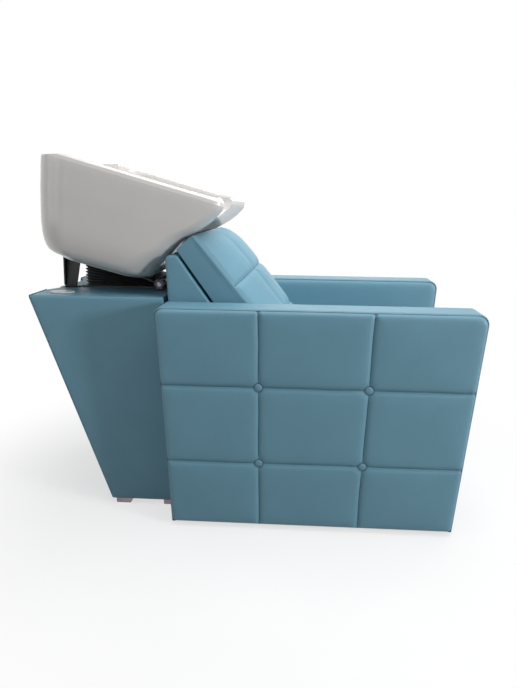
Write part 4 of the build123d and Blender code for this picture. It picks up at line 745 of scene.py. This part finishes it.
class RearSlope:
    """The pedestal's raked rear: its foot, the directions up and out of it, and its length."""

    def __init__(self):
        rise = PEDESTAL_HIGH - PEDESTAL_LOW
        self.length = math.hypot(rise, PEDESTAL_LEAN)
        self.scale = self.length / rise
        self.up = np.array([-PEDESTAL_LEAN, 0, rise]) / self.length
        self.out = np.array([-rise, 0, -PEDESTAL_LEAN]) / self.length
        self.foot = np.array([slope_x(PEDESTAL_LOW), 0, PEDESTAL_LOW])
        self.access_low = (ACCESS_LOW - PEDESTAL_LOW) * self.scale
        self.access_high = (ACCESS_HIGH - PEDESTAL_LOW) * self.scale

    def back(self, rim):
        """The rim moved straight in to the back of the skin."""
        return rim - self.out * ((rim - self.foot) @ self.out + SKIN - SKIN_OVERLAP)[:, None]

    def panel(self, corners, sink, **look):
        """A panel on the slope, its seams sunk below the surface."""
        return Panel(corners, self.foot - self.out * sink, (0, 1, 0), self.up, self.out, **look)


def rear_skin(slope):
    """The vinyl skin on the rear slope, with the notch in its upper edge and the door's recess."""
    half, length = PEDESTAL_HALF - FRONT_GAP, slope.length
    low, high = slope.access_low, slope.access_high
    panel = slope.panel(
        rectangle(-half, half, SKIN_GAP, length - SLOPE_GAP), SEAM_DEPTH, radii=(0.004,) * 4,
        rise=0.0028, reach=0.014, dome=0.0, drop=0.001, edge_reach=0.006, unevenness=0.0003,
        pucker=0.0, seed=71,
        well=(half - ACCESS_HALF, half + ACCESS_HALF, low, high, ACCESS_DEPTH),
        dip=(NOTCH_MOUTH, NOTCH_FLOOR, NOTCH_DROP * slope.scale),
    )
    steps = (-FRONT_GAP, 0, FRONT_GAP)
    edges_s = [(half + v * (ACCESS_HALF + d)) / (2 * half) for v in (-1, 1) for d in steps]
    edges_s += [(half + v * d) / (2 * half) for v in (-1, 1) for d in (NOTCH_MOUTH, NOTCH_FLOOR)]
    edges_t = [(v + d) / length for v in (low, high) for d in steps]
    points, crease = panel.grid(70, 60, edges_s, edges_t)
    # Painted shade in the seams and at the door's recess, weaker on the skin
    body = closed_body(points, crease * SKIN_SHADE, slope.back, (1.0,), inset=0.0004)
    add_cover("pedestal_rear_skin", body, "pedestal_rear_cover", slot="vinyl_skin")


def access_door(slope):
    """The access panel in its recess on the rear slope."""
    half = ACCESS_HALF - DOOR_GAP
    low, high = slope.access_low + DOOR_GAP, slope.access_high - DOOR_GAP
    panel = slope.panel(
        rectangle(-half, half, low, high), DOOR_SINK, radii=(0.005,) * 4,
        rise=0.0015, reach=0.008, dome=0.0003, drop=0.0005, unevenness=0.0002, pucker=0.0, seed=73,
    )
    points, crease = panel.grid(44, 52)
    # Painted shade in the door's seams, at half strength
    body = closed_body(points, crease * DOOR_SHADE, slope.back, (1.0,), inset=0.0)
    add_cover("pedestal_access_door", body, "pedestal_access_panel", slot="vinyl_skin")


def opening(low_x, high_x, low_y, high_y):
    """The corners of an opening in plan, which run the other way round than an outline's."""
    return [(x, y) for y, x in rectangle(low_y, high_y, low_x, high_x)]


def top_outline():
    """The plan of the pedestal's padded top, with the notch in its rear edge."""
    rear, front = slope_x(TOP_REAR_Z) + SKIN + SLOPE_GAP, PEDESTAL_FRONT - SKIN
    half = PEDESTAL_HALF - SKIN - SKIN_OVERLAP
    floor = PEDESTAL_REAR + NOTCH_DEPTH
    return [
        (rear, -half), (front, -half), (front, half), (rear, half), (rear, NOTCH_MOUTH),
        (floor, NOTCH_FLOOR), (floor, -NOTCH_FLOOR), (rear, -NOTCH_MOUTH),
    ]


def top_pad():
    """The padded top of the pedestal: its plan with two openings, filled and given round edges."""
    curve = bpy.data.curves.new("pedestal_top_plan", "CURVE")
    curve.dimensions = "2D"
    curve.fill_mode = "BOTH"
    shapes = (
        (top_outline(), TOP_RADII),
        (opening(*HOSE_HOLE), (HOSE_HOLE_RADIUS,) * 4),
        (opening(*STAY_HOLE), (STAY_HOLE_RADIUS,) * 4),
    )
    for corners, radii in shapes:
        path = rounded_path(corners, radii, closed=True, step=0.02, arc_steps=7)[0]
        spline = curve.splines.new("POLY")
        spline.points.add(len(path) - 1)
        spline.use_cyclic_u = True
        for point, (x, y) in zip(spline.points, path):
            point.co = (x, y, 0, 1)
    thick = PEDESTAL_HIGH - SKIN_GAP - TOP_LOW
    curve.extrude = thick / 2 - TOP_ROUNDING
    curve.bevel_depth = TOP_ROUNDING
    curve.bevel_resolution = 3
    curve.offset = -TOP_ROUNDING
    plan = add_object("pedestal_top_plan", curve)
    bpy.context.view_layer.update()
    evaluated = plan.evaluated_get(bpy.context.evaluated_depsgraph_get())
    mesh = evaluated.to_mesh()
    vertices = np.empty(len(mesh.vertices) * 3)
    mesh.vertices.foreach_get("co", vertices)
    vertices = vertices.reshape(-1, 3)
    vertices[:, 2] += TOP_LOW + thick / 2
    faces = [tuple(polygon.vertices) for polygon in mesh.polygons]
    evaluated.to_mesh_clear()
    bpy.data.objects.remove(plan)
    body = (vertices, faces, np.zeros(len(vertices)))
    add_cover("pedestal_top_cover", body, "pedestal_top_pad", sharp=40)


# Bellows and hose


def bellows():
    """The rubber bellows: a rounded oblong whose folds swing in and out in a cosine while each level
    turns a little further about the front pivot, with a wall inside."""
    corners = rectangle(BELLOWS_REAR, BELLOWS_FRONT, -BELLOWS_HALF, BELLOWS_HALF)
    path, normals = rounded_path(corners, (BELLOWS_CORNER,) * 4, closed=True, step=0.008)
    levels = np.linspace(0, 1, BELLOWS_FOLDS * STEPS_PER_FOLD + 1)
    swing = 0.5 - 0.5 * np.cos(2 * np.pi * BELLOWS_FOLDS * levels)
    depth = BELLOWS_FOLD * swing ** 0.8
    level = np.concatenate([levels, levels[::-1]])
    inset = np.concatenate([depth, depth[::-1] + BELLOWS_WALL])
    flat = path[:, None] - normals[:, None] * inset[None, :, None]
    turn = np.radians(REST_TILT) * (BELLOWS_FIRST_SHARE + BELLOWS_TURN_SHARE * level)[None]
    run = flat[..., 0] - PIVOT_X
    x = PIVOT_X + run * np.cos(turn)
    z = PIVOT_Z + PIVOT_GAP - run * np.sin(turn)
    points = np.stack([x, flat[..., 1], z], -1)
    faces = grid_faces(points.shape[0], points.shape[1], True, True)
    # Painted shade in the folds' valleys: their depth as a share of the fold, full on the inner wall
    tone = np.broadcast_to(np.clip(inset / BELLOWS_FOLD, 0, 1), points.shape[:2])
    piece = add_mesh(
        "rubber_bellows", points, faces, ["drain_bellows"], None, "black_rubber", tone, sharp=75
    )
    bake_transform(piece)


def hose_route():
    """The hose's middle line from the spigot to the outlet: straight runs joined by even arcs."""
    turn = math.radians(REST_TILT)

    def below(level):
        x = HINGE_X - DRAIN_BEHIND * math.cos(turn) + level * math.sin(turn)
        z = HINGE_Z + DRAIN_BEHIND * math.sin(turn) + level * math.cos(turn)
        return np.array([x, z])

    corners = [
        below(HOSE_START), below(HOSE_START - HOSE_UPPER_RUN),
        np.array([OUTLET_X, LOWER_BEND]), np.array([OUTLET_X, OUTLET_LOW]),
    ]
    radii = [0.0]
    for before, corner, after in zip(corners, corners[1:], corners[2:]):
        bend = math.acos(np.clip(unit(corner - before) @ unit(after - corner), -1, 1))
        shorter = min(math.dist(before, corner), math.dist(corner, after))
        radii.append(HOSE_BEND_SHARE * shorter / math.tan(bend / 2))
    return rounded_path(corners, radii + [0.0], closed=False, step=0.004, arc_steps=40)


def hose():
    """The ribbed waste hose: a ring carried along its middle line, its radius swinging in a sine."""
    path, normals = hose_route()
    angle = np.linspace(0, 2 * np.pi, HOSE_SIDES, endpoint=False)
    length = np.concatenate([[0], np.cumsum(np.linalg.norm(np.diff(path, axis=0), axis=1))])
    plain = np.minimum(length, length[-1] - length) < HOSE_PLAIN_END
    swing = 0.5 + 0.5 * np.sin(2 * np.pi * length / HOSE_RIB_PITCH)
    outside = HOSE_BORE + HOSE_WALL - HOSE_SKIN_GAP - np.where(plain, 0.0, HOSE_RIB * swing)
    inside = np.full(len(path), HOSE_BORE + HOSE_GAP)
    walls = []
    for size in (outside, inside):
        across = normals * size[:, None]
        flat = path[:, None] + across[:, None] * np.cos(angle)[None, :, None]
        walls.append(in_space(flat, size[:, None] * np.sin(angle)[None]))
    points = np.concatenate([walls[0], walls[1][::-1]])
    faces = grid_faces(points.shape[0], HOSE_SIDES, True, True)
    piece = add_mesh(
        "waste_hose", points, faces, ["drain_hose"], None, "black_rubber",
        np.zeros(points.shape[:2]), sharp=75,
    )
    start, end = path[-1], path[0]
    start[1] + HOSE_BLEND_RISE
    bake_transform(piece)


# Materials


class Value:
    """A shader value that takes part in sums like a number."""

    def __init__(self, graph, socket):
        self.graph = graph
        self.socket = socket

    def __add__(self, other):
        return self.graph.sum("ADD", self, other)

    __radd__ = __add__

    def __sub__(self, other):
        return self.graph.sum("SUBTRACT", self, other)

    def __rsub__(self, other):
        return self.graph.sum("SUBTRACT", other, self)

    def __mul__(self, other):
        return self.graph.sum("MULTIPLY", self, other)

    __rmul__ = __mul__


class Graph:
    """The nodes of one material, with one method that makes a node and joins its inputs."""

    def __init__(self, name):
        self.material = bpy.data.materials.new(name)
        self.material.use_nodes = True
        self.tree = self.material.node_tree
        self.tree.nodes.clear()
        self.place = self.node("ShaderNodeTexCoord").outputs["Object"]

    def node(self, kind, settings=None, **inputs):
        """A node with its settings, and values or links for its inputs by name, or _ and number."""
        node = self.tree.nodes.new(kind)
        for key, value in (settings or {}).items():
            setattr(node, key, value)
        for key, value in inputs.items():
            slot = node.inputs[int(key[1:])] if key[0] == "_" else node.inputs[key.replace("_", " ")]
            self.join(value, slot)
        return node

    def join(self, value, slot):
        """A link from a socket or shader value, or else a plain value, put into an input."""
        if isinstance(value, Value):
            value = value.socket
        if isinstance(value, bpy.types.NodeSocket):
            self.tree.links.new(value, slot)
        else:
            slot.default_value = value

    def sum(self, operation, a, b):
        """One Math node."""
        node = self.node("ShaderNodeMath", {"operation": operation}, _0=a, _1=b)
        return Value(self, node.outputs[0])

    def stretched(self, scale):
        """Object coordinates multiplied by a scale on each axis."""
        return self.node("ShaderNodeMapping", None, Vector=self.place, Scale=scale).outputs[0]

    def noise(self, scale, detail=3.0, place=None, distortion=0.0):
        """Cloudy noise from 0 to 1."""
        node = self.node(
            "ShaderNodeTexNoise", None, Vector=place or self.place, Scale=scale, Detail=detail,
            Distortion=distortion,
        )
        return Value(self, node.outputs[0])

    def cells(self, scale, feature="F1"):
        """Distance to the nearest of many scattered points, or to the edges between them."""
        node = self.node("ShaderNodeTexVoronoi", {"feature": feature}, Vector=self.place, Scale=scale)
        return Value(self, node.outputs["Distance"])

    def attribute(self, name):
        """A value kept on the mesh's points."""
        node = self.node("ShaderNodeAttribute", {"attribute_name": name})
        return Value(self, node.outputs["Fac"])

    def ramp(self, value, low, high, to_low=0.0, to_high=1.0):
        """A value taken smoothly from one range to another."""
        node = self.node(
            "ShaderNodeMapRange", {"interpolation_type": "SMOOTHSTEP"}, Value=value, _1=low, _2=high,
            _3=to_low, _4=to_high,
        )
        return Value(self, node.outputs[0])

    def mix(self, share, a, b):
        """Two colours mixed by a share."""
        return self.node("ShaderNodeMix", {"data_type": "RGBA"}, _0=share, _6=a, _7=b).outputs[2]

    def clouded(self, colour, scale, detail, dark, pale):
        """A colour that drifts between a darker and a paler shade of itself."""
        cloud = self.ramp(self.noise(scale, detail), 0.3, 0.7)
        return self.mix(cloud, shade(colour, dark), shade(colour, pale))

    def bump(self, height, distance, strength=1.0):
        """Normals bent by a height."""
        node = self.node("ShaderNodeBump", None, Height=height, Distance=distance, Strength=strength)
        return node.outputs[0]

    def finish(self, shader):
        """The finished material with a shader joined to its output."""
        output = self.node("ShaderNodeOutputMaterial")
        self.tree.links.new(shader.outputs[0], output.inputs[0])
        return self.material

    def surface(self, **inputs):
        """The finished material with one Principled shader."""
        return self.finish(self.node("ShaderNodeBsdfPrincipled", None, **inputs))


def shade(colour, factor):
    """A colour made lighter or darker, with its alpha."""
    return tuple(min(v * factor, 1.0) for v in colour[:3]) + (1.0,)


def vinyl_material(name):
    """Slate blue vinyl with a fine leather grain, cloudy tone, and painted shade in its seams, round its
    buttons and at its rims.
    """
    base = bpy.context.scene.washbed_colours.vinyl
    g = Graph(name)
    cloud = g.ramp(g.noise(9.0, 4.0), 0.32, 0.68)
    fleck = g.ramp(g.noise(420.0, 2.0), 0.35, 0.65)
    tone = g.mix(cloud, shade(base, 0.975), shade(base, 1.025))
    tone = g.mix(fleck * 0.22, tone, shade(base, 0.80))
    # Painted shade from the points' shares, darkest in seams, round buttons and at rims; threads darker
    # in their own tone
    crease = g.attribute("crease")
    tone = g.mix(g.ramp(crease, 0.15, 1.0, 0.0, 0.82), tone, shade(base, 0.16))
    grain = g.cells(760.0, "DISTANCE_TO_EDGE")
    height = g.ramp(grain, 0.0, 0.32) * 0.7 + g.noise(1400.0, 2.0) * 0.25 + g.noise(70.0, 2.0) * 0.6
    rough = 0.43 + g.noise(26.0, 3.0) * 0.12 + crease * 0.18
    return g.surface(
        Base_Color=tone, Roughness=rough, Normal=g.bump(height, 0.00022, 0.75), Coat_Weight=0.06,
        Coat_Roughness=0.32,
    )


def glaze_material(name):
    """White glazed ceramic: a glossy coat over a faintly uneven body."""
    base = bpy.context.scene.washbed_colours.glaze
    g = Graph(name)
    tone = g.clouded(base, 7.0, 3.0, 0.975, 1.01)
    tone = g.mix(g.ramp(g.cells(240.0), 0.0, 0.10, 0.35, 0.0), tone, shade(base, 0.86))
    wave = g.noise(26.0, 2.0) * 0.8 + g.noise(180.0, 2.0) * 0.1
    rough = 0.27 + g.noise(40.0, 3.0) * 0.04
    return g.surface(
        Base_Color=tone, Roughness=rough, Coat_Weight=0.35, Coat_Roughness=0.09,
        Normal=g.bump(wave, 0.00025, 0.2),
    )


def painted_material(name, colour, roughness, grain):
    """Moulded or powder coated surface: even colour with a fine grain and worn sheen."""
    g = Graph(name)
    tone = g.clouded(colour, 18.0, 4.0, 0.85, 1.15)
    height = g.noise(grain, 2.0) * 0.8 + g.cells(grain * 0.6) * 0.4
    rough = roughness - 0.06 + g.noise(45.0, 3.0) * 0.14
    return g.surface(Base_Color=tone, Roughness=rough, Normal=g.bump(height, 0.0002, 0.6))


def metal_material(name, colour, roughness, stretch):
    """Bare or plated metal with drawn-out scratches."""
    g = Graph(name)
    lines = g.noise(900.0, 3.0, g.stretched(stretch))
    tone = g.clouded(colour, 25.0, 3.0, 0.86, 1.08)
    rough = roughness - 0.05 + lines * 0.12
    return g.surface(
        Base_Color=tone, Metallic=1.0, Roughness=rough, Normal=g.bump(lines, 0.00005, 0.5)
    )


def rubber_material(name):
    """Matt black rubber with patches of dust, and painted shade in the folds that leaves the outer folds
    a little greyer.
    """
    g = Graph(name)
    dark, pale = (0.010, 0.010, 0.011, 1.0), (0.032, 0.032, 0.034, 1.0)
    # Dust patches, with painted shade in the bellows' folds that takes them away there
    dust_and_fold_shade = g.ramp(g.noise(30.0, 4.0), 0.35, 0.75) * (1.0 - g.attribute("crease") * 0.9)
    rough = 0.52 + g.noise(60.0, 3.0) * 0.16
    normal = g.bump(g.noise(700.0, 2.0), 0.0002, 0.5)
    return g.surface(Base_Color=g.mix(dust_and_fold_shade, dark, pale), Roughness=rough, Normal=normal)


def wood_material(name, colour, layered):
    """Plywood or timber: long grain bands, pores and, on plywood, thin layers across Z."""
    g = Graph(name)
    grain = g.noise(16.0, 6.0, g.stretched((1.0, 9.0, 9.0)), 0.6)
    pores = g.noise(300.0, 2.0, g.stretched((0.12, 1.0, 1.0)))
    tone = g.mix(g.ramp(grain, 0.3, 0.7), shade(colour, 0.72), shade(colour, 1.12))
    tone = g.mix(g.ramp(pores, 0.56, 0.72, 0.0, 0.6), tone, shade(colour, 0.5))
    if layered:
        layers = g.noise(420.0, 0.0, g.stretched((0.02, 0.02, 1.0)))
        tone = g.mix(g.ramp(layers, 0.45, 0.55, 0.0, 0.25), tone, shade(colour, 0.6))
    rough = 0.55 + grain * 0.2
    return g.surface(Base_Color=tone, Roughness=rough, Normal=g.bump(pores + grain, 0.0004, 0.5))


# Each finish's maker with its colour, and then its roughness and grain, roughness and the stretch
# of its scratches, or whether it is layered
MAKERS = {
    "vinyl_on_foam": (vinyl_material,),
    "vinyl_skin": (vinyl_material,),
    "white_glaze": (glaze_material,),
    "plywood": (wood_material, (0.60, 0.44, 0.27), True),
    "timber": (wood_material, (0.62, 0.43, 0.23), False),
    "black_steel": (painted_material, (0.014, 0.014, 0.016), 0.42, 900.0),
    "plated_steel": (metal_material, (0.40, 0.38, 0.40), 0.42, (1, 1, 0.05)),
    "foot_metal": (metal_material, (0.30, 0.25, 0.28), 0.38, (0.05, 1, 1)),
    "black_plastic": (painted_material, (0.02, 0.02, 0.022), 0.5, 700.0),
    "grey_plastic": (painted_material, (0.33, 0.33, 0.35), 0.42, 800.0),
    "knob_plastic": (painted_material, (0.21, 0.18, 0.225), 0.40, 800.0),
    "pale_plastic": (painted_material, (0.62, 0.65, 0.66), 0.33, 900.0),
    "polished_steel": (metal_material, (0.60, 0.60, 0.61), 0.20, (1, 1, 0.1)),
    "black_rubber": (rubber_material,),
    "bronze": (metal_material, (0.50, 0.33, 0.15), 0.33, (1, 0.05, 1)),
}
FINISHES = {}


def finish_of(slot):
    """The material of one slot, made once."""
    if slot not in FINISHES:
        maker, *values = MAKERS[slot]
        FINISHES[slot] = maker(f"{slot}_look", *values)
    return FINISHES[slot]


# Studio


def ground_material():
    """Pale floor that keeps the shadow near the object and fades to plain white far from it."""
    g = Graph("studio_floor_look")
    rays = g.node("ShaderNodeLightPath").outputs
    camera = Value(g, rays["Is Camera Ray"])
    seen = camera + Value(g, rays["Is Glossy Ray"]) + Value(g, rays["Is Transmission Ray"])
    tone = g.mix(g.ramp(g.noise(3.0, 2.0), 0.3, 0.7), (0.90, 0.90, 0.90, 1.0), (0.93, 0.93, 0.93, 1.0))
    tone = g.mix(camera, (FLOOR_RETURN, FLOOR_RETURN, FLOOR_RETURN, 1.0), tone)
    soft = g.node("ShaderNodeBsdfDiffuse", None, Color=tone)
    white = g.node("ShaderNodeEmission", None, Color=(1, 1, 1, 1), Strength=1.0)
    length = g.node("ShaderNodeVectorMath", {"operation": "LENGTH"}, _0=g.place)
    away = g.ramp(Value(g, length.outputs["Value"]), FADE_START, FADE_END, WHITE_SHARE, 1.0)
    return g.finish(
        g.node("ShaderNodeMixShader", None, _0=seen * away, _1=soft.outputs[0], _2=white.outputs[0])
    )


def add_floor():
    """A broad floor under the object."""
    line = (-FLOOR_HALF, FLOOR_HALF)
    y, x = np.meshgrid(line, line, indexing="ij")
    vertices = np.stack([x, y, np.full(x.shape, -FLOOR_DROP)], -1).reshape(-1, 3)
    mesh = bpy.data.meshes.new("studio_floor")
    mesh.from_pydata(vertices.tolist(), [], grid_faces(2, 2))
    mesh.materials.append(ground_material())
    add_object("studio_floor", mesh)


def matrix_of(right, above, back, place):
    """The matrix of a lamp or camera from its three directions and its place."""
    columns = np.stack([right, above, back, place], 1)
    return Matrix(np.vstack([columns, [0, 0, 0, 1]]).tolist())


def add_lamp(name, place, target, size, power):
    """A square softbox that faces a target."""
    light = bpy.data.lights.new(name, "AREA")
    light.shape = "SQUARE"
    light.size = size
    light.energy = power
    back = unit(np.subtract(place, target))
    right = unit(np.cross((0, 1, 0.01), back))
    add_object(name, light).matrix_world = matrix_of(right, np.cross(back, right), back, place)


def add_world(ambient):
    """White to the camera and in reflections, and a soft even light on everything else."""
    world = bpy.data.worlds.new("studio_world")
    bpy.context.scene.world = world
    world.use_nodes = True
    tree = world.node_tree
    tree.nodes.clear()
    seen, glow = (tree.nodes.new("ShaderNodeBackground") for _ in range(2))
    for background, strength in ((seen, 1.0), (glow, ambient)):
        background.inputs[0].default_value = (1, 1, 1, 1)
        background.inputs[1].default_value = strength
    path = tree.nodes.new("ShaderNodeLightPath")
    share = path.outputs["Is Camera Ray"]
    for ray in ("Is Glossy Ray", "Is Transmission Ray"):
        either = tree.nodes.new("ShaderNodeMath")
        either.operation = "MAXIMUM"
        tree.links.new(share, either.inputs[0])
        tree.links.new(path.outputs[ray], either.inputs[1])
        share = either.outputs[0]
    mix = tree.nodes.new("ShaderNodeMixShader")
    output = tree.nodes.new("ShaderNodeOutputWorld")
    tree.links.new(share, mix.inputs[0])
    tree.links.new(glow.outputs[0], mix.inputs[1])
    tree.links.new(seen.outputs[0], mix.inputs[2])
    tree.links.new(mix.outputs[0], output.inputs[0])


def add_camera():
    """The camera at the photograph's place, turned by yaw, pitch and roll."""
    yaw, pitch, roll = -0.05031, 0.43195, 0.013359
    place = (0.15856, -1.63289, 0.90883)
    forward = np.array([
        math.sin(yaw) * math.cos(pitch), math.cos(yaw) * math.cos(pitch), -math.sin(pitch)
    ])
    level = np.array([math.cos(yaw), -math.sin(yaw), 0])
    upright = np.cross(level, forward)
    right = math.cos(roll) * level + math.sin(roll) * upright
    up = -math.sin(roll) * level + math.cos(roll) * upright
    data = bpy.data.cameras.new("photo_camera")
    data.sensor_width = 36
    data.lens = 26.655
    data.shift_x = -0.03075
    data.shift_y = 0.13374
    camera = add_object("photo_camera", data)
    camera.matrix_world = matrix_of(right, up, -forward, place)
    bpy.context.scene.camera = camera


# Settings, operators and panel


class WashbedUpholstery(bpy.types.PropertyGroup):
    face_rise: FloatProperty(
        name="Face rise", description="Height of the arm's padding above its seams", default=0.0074,
        unit="LENGTH",
    )
    seam_reach: FloatProperty(
        name="Seam reach", description="How far a seam draws the padding down", default=0.017,
        unit="LENGTH",
    )
    stitch_pitch: FloatProperty(
        name="Stitch pitch", description="Distance between stitches on the arms' faces",
        default=0.0058, unit="LENGTH",
    )
    pucker: FloatProperty(
        name="Pucker", description="Height of the small folds beside a seam", default=0.00045,
        unit="LENGTH",
    )


class WashbedColours(bpy.types.PropertyGroup):
    vinyl: FloatVectorProperty(
        name="Vinyl", description="Colour of the upholstery", default=(0.133, 0.300, 0.394),
        subtype="COLOR",
    )
    glaze: FloatVectorProperty(
        name="Glaze", description="Colour of the basin", default=(0.770, 0.742, 0.722),
        subtype="COLOR",
    )


class WashbedStudio(bpy.types.PropertyGroup):
    key_power: FloatProperty(
        name="Key power", description="Power of the softbox overhead", default=79.0, unit="POWER",
    )
    side_power: FloatProperty(
        name="Side power", description="Power of the softbox at the foot end", default=73.0,
        unit="POWER",
    )
    rear_power: FloatProperty(
        name="Rear power", description="Power of the softbox behind the basin", default=19.0,
        unit="POWER",
    )
    far_power: FloatProperty(
        name="Far power", description="Power of the softbox beyond the far arm", default=9.0,
        unit="POWER",
    )
    ambient: FloatProperty(
        name="Ambient", description="Strength of the light from all round", default=0.10,
    )


class WASHBED_OT_arms(bpy.types.Operator):
    """Make both padded arms with their bands, buttons and stitches"""

    bl_idname = "washbed.arms"
    bl_label = "Make arms"

    def execute(self, context):
        panels = []
        for side, label in ((-1, "right"), (1, "left")):
            panel = arm_face(side, label, True)
            arm_face(side, label, False)
            arm_threads(label, panel, arm_band(side, label))
            panels.append(panel)
        covered_buttons(panels)
        return {"FINISHED"}


class WASHBED_OT_backrest(bpy.types.Operator):
    """Make the backrest and the padded support behind it"""

    bl_idname = "washbed.backrest"
    bl_label = "Make backrest"

    def execute(self, context):
        backrest()
        back_support()
        return {"FINISHED"}


class WASHBED_OT_seat(bpy.types.Operator):
    """Make the seat cushion and the padded panel in front"""

    bl_idname = "washbed.seat"
    bl_label = "Make seat"

    def execute(self, context):
        seat_cushion()
        seat_front()
        return {"FINISHED"}


class WASHBED_OT_pedestal(bpy.types.Operator):
    """Make the pedestal's skins, access door and padded top"""

    bl_idname = "washbed.pedestal"
    bl_label = "Make pedestal"

    def execute(self, context):
        pedestal_side(-1, "right")
        pedestal_side(1, "left")
        slope = RearSlope()
        rear_skin(slope)
        access_door(slope)
        top_pad()
        return {"FINISHED"}


class WASHBED_OT_rubber(bpy.types.Operator):
    """Make the bellows round the drain and the waste hose"""

    bl_idname = "washbed.rubber"
    bl_label = "Make bellows and hose"

    def execute(self, context):
        bellows()
        hose()
        return {"FINISHED"}


class WASHBED_OT_finishes(bpy.types.Operator):
    """Give every CAD piece the finish of its slot"""

    bl_idname = "washbed.finishes"
    bl_label = "Give finishes"

    def execute(self, context):
        for name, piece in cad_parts.items():
            for slot in piece.material_slots:
                if slot.material is None:
                    raise RuntimeError(f"{name} has an empty material slot")
                slot.material = finish_of(slot.material.name.split(".")[0])
        return {"FINISHED"}


class WASHBED_OT_stage(bpy.types.Operator):
    """Make the floor, the lights, the surroundings and the camera"""

    bl_idname = "washbed.stage"
    bl_label = "Make stage"

    def execute(self, context):
        studio = context.scene.washbed_studio
        context.scene.view_settings.view_transform = "Standard"
        add_floor()
        for name, place, target, size, power in SOFTBOXES:
            add_lamp(name, place, target, size, getattr(studio, power))
        add_world(studio.ambient)
        add_camera()
        return {"FINISHED"}


OPERATORS = (
    WASHBED_OT_arms, WASHBED_OT_backrest, WASHBED_OT_seat, WASHBED_OT_pedestal, WASHBED_OT_rubber,
    WASHBED_OT_finishes, WASHBED_OT_stage,
)


class WASHBED_PT_panel(bpy.types.Panel):
    """Lists the settings and the steps that build the bed"""

    bl_idname = "WASHBED_PT_panel"
    bl_label = "Washing bed"
    bl_space_type = "VIEW_3D"
    bl_region_type = "UI"
    bl_category = "Washing bed"

    def draw(self, context):
        for settings, group in SETTINGS.items():
            for name in group.__annotations__:
                self.layout.prop(getattr(context.scene, settings), name)
        for operator in OPERATORS:
            self.layout.operator(operator.bl_idname)


SETTINGS = {
    "washbed_upholstery": WashbedUpholstery,
    "washbed_colours": WashbedColours,
    "washbed_studio": WashbedStudio,
}
CLASSES = (*SETTINGS.values(), *OPERATORS, WASHBED_PT_panel)


def register():
    for item in CLASSES:
        bpy.utils.register_class(item)
    for name, group in SETTINGS.items():
        setattr(bpy.types.Scene, name, PointerProperty(type=group))


def unregister():
    for name in SETTINGS:
        delattr(bpy.types.Scene, name)
    for item in reversed(CLASSES):
        bpy.utils.unregister_class(item)


def main():
    """Builds the bed step by step."""
    register()
    bpy.ops.washbed.arms()
    bpy.ops.washbed.backrest()
    bpy.ops.washbed.seat()
    bpy.ops.washbed.pedestal()
    bpy.ops.washbed.rubber()
    bpy.ops.washbed.finishes()
    bpy.ops.washbed.stage()


if __name__ == "__main__":
    main()
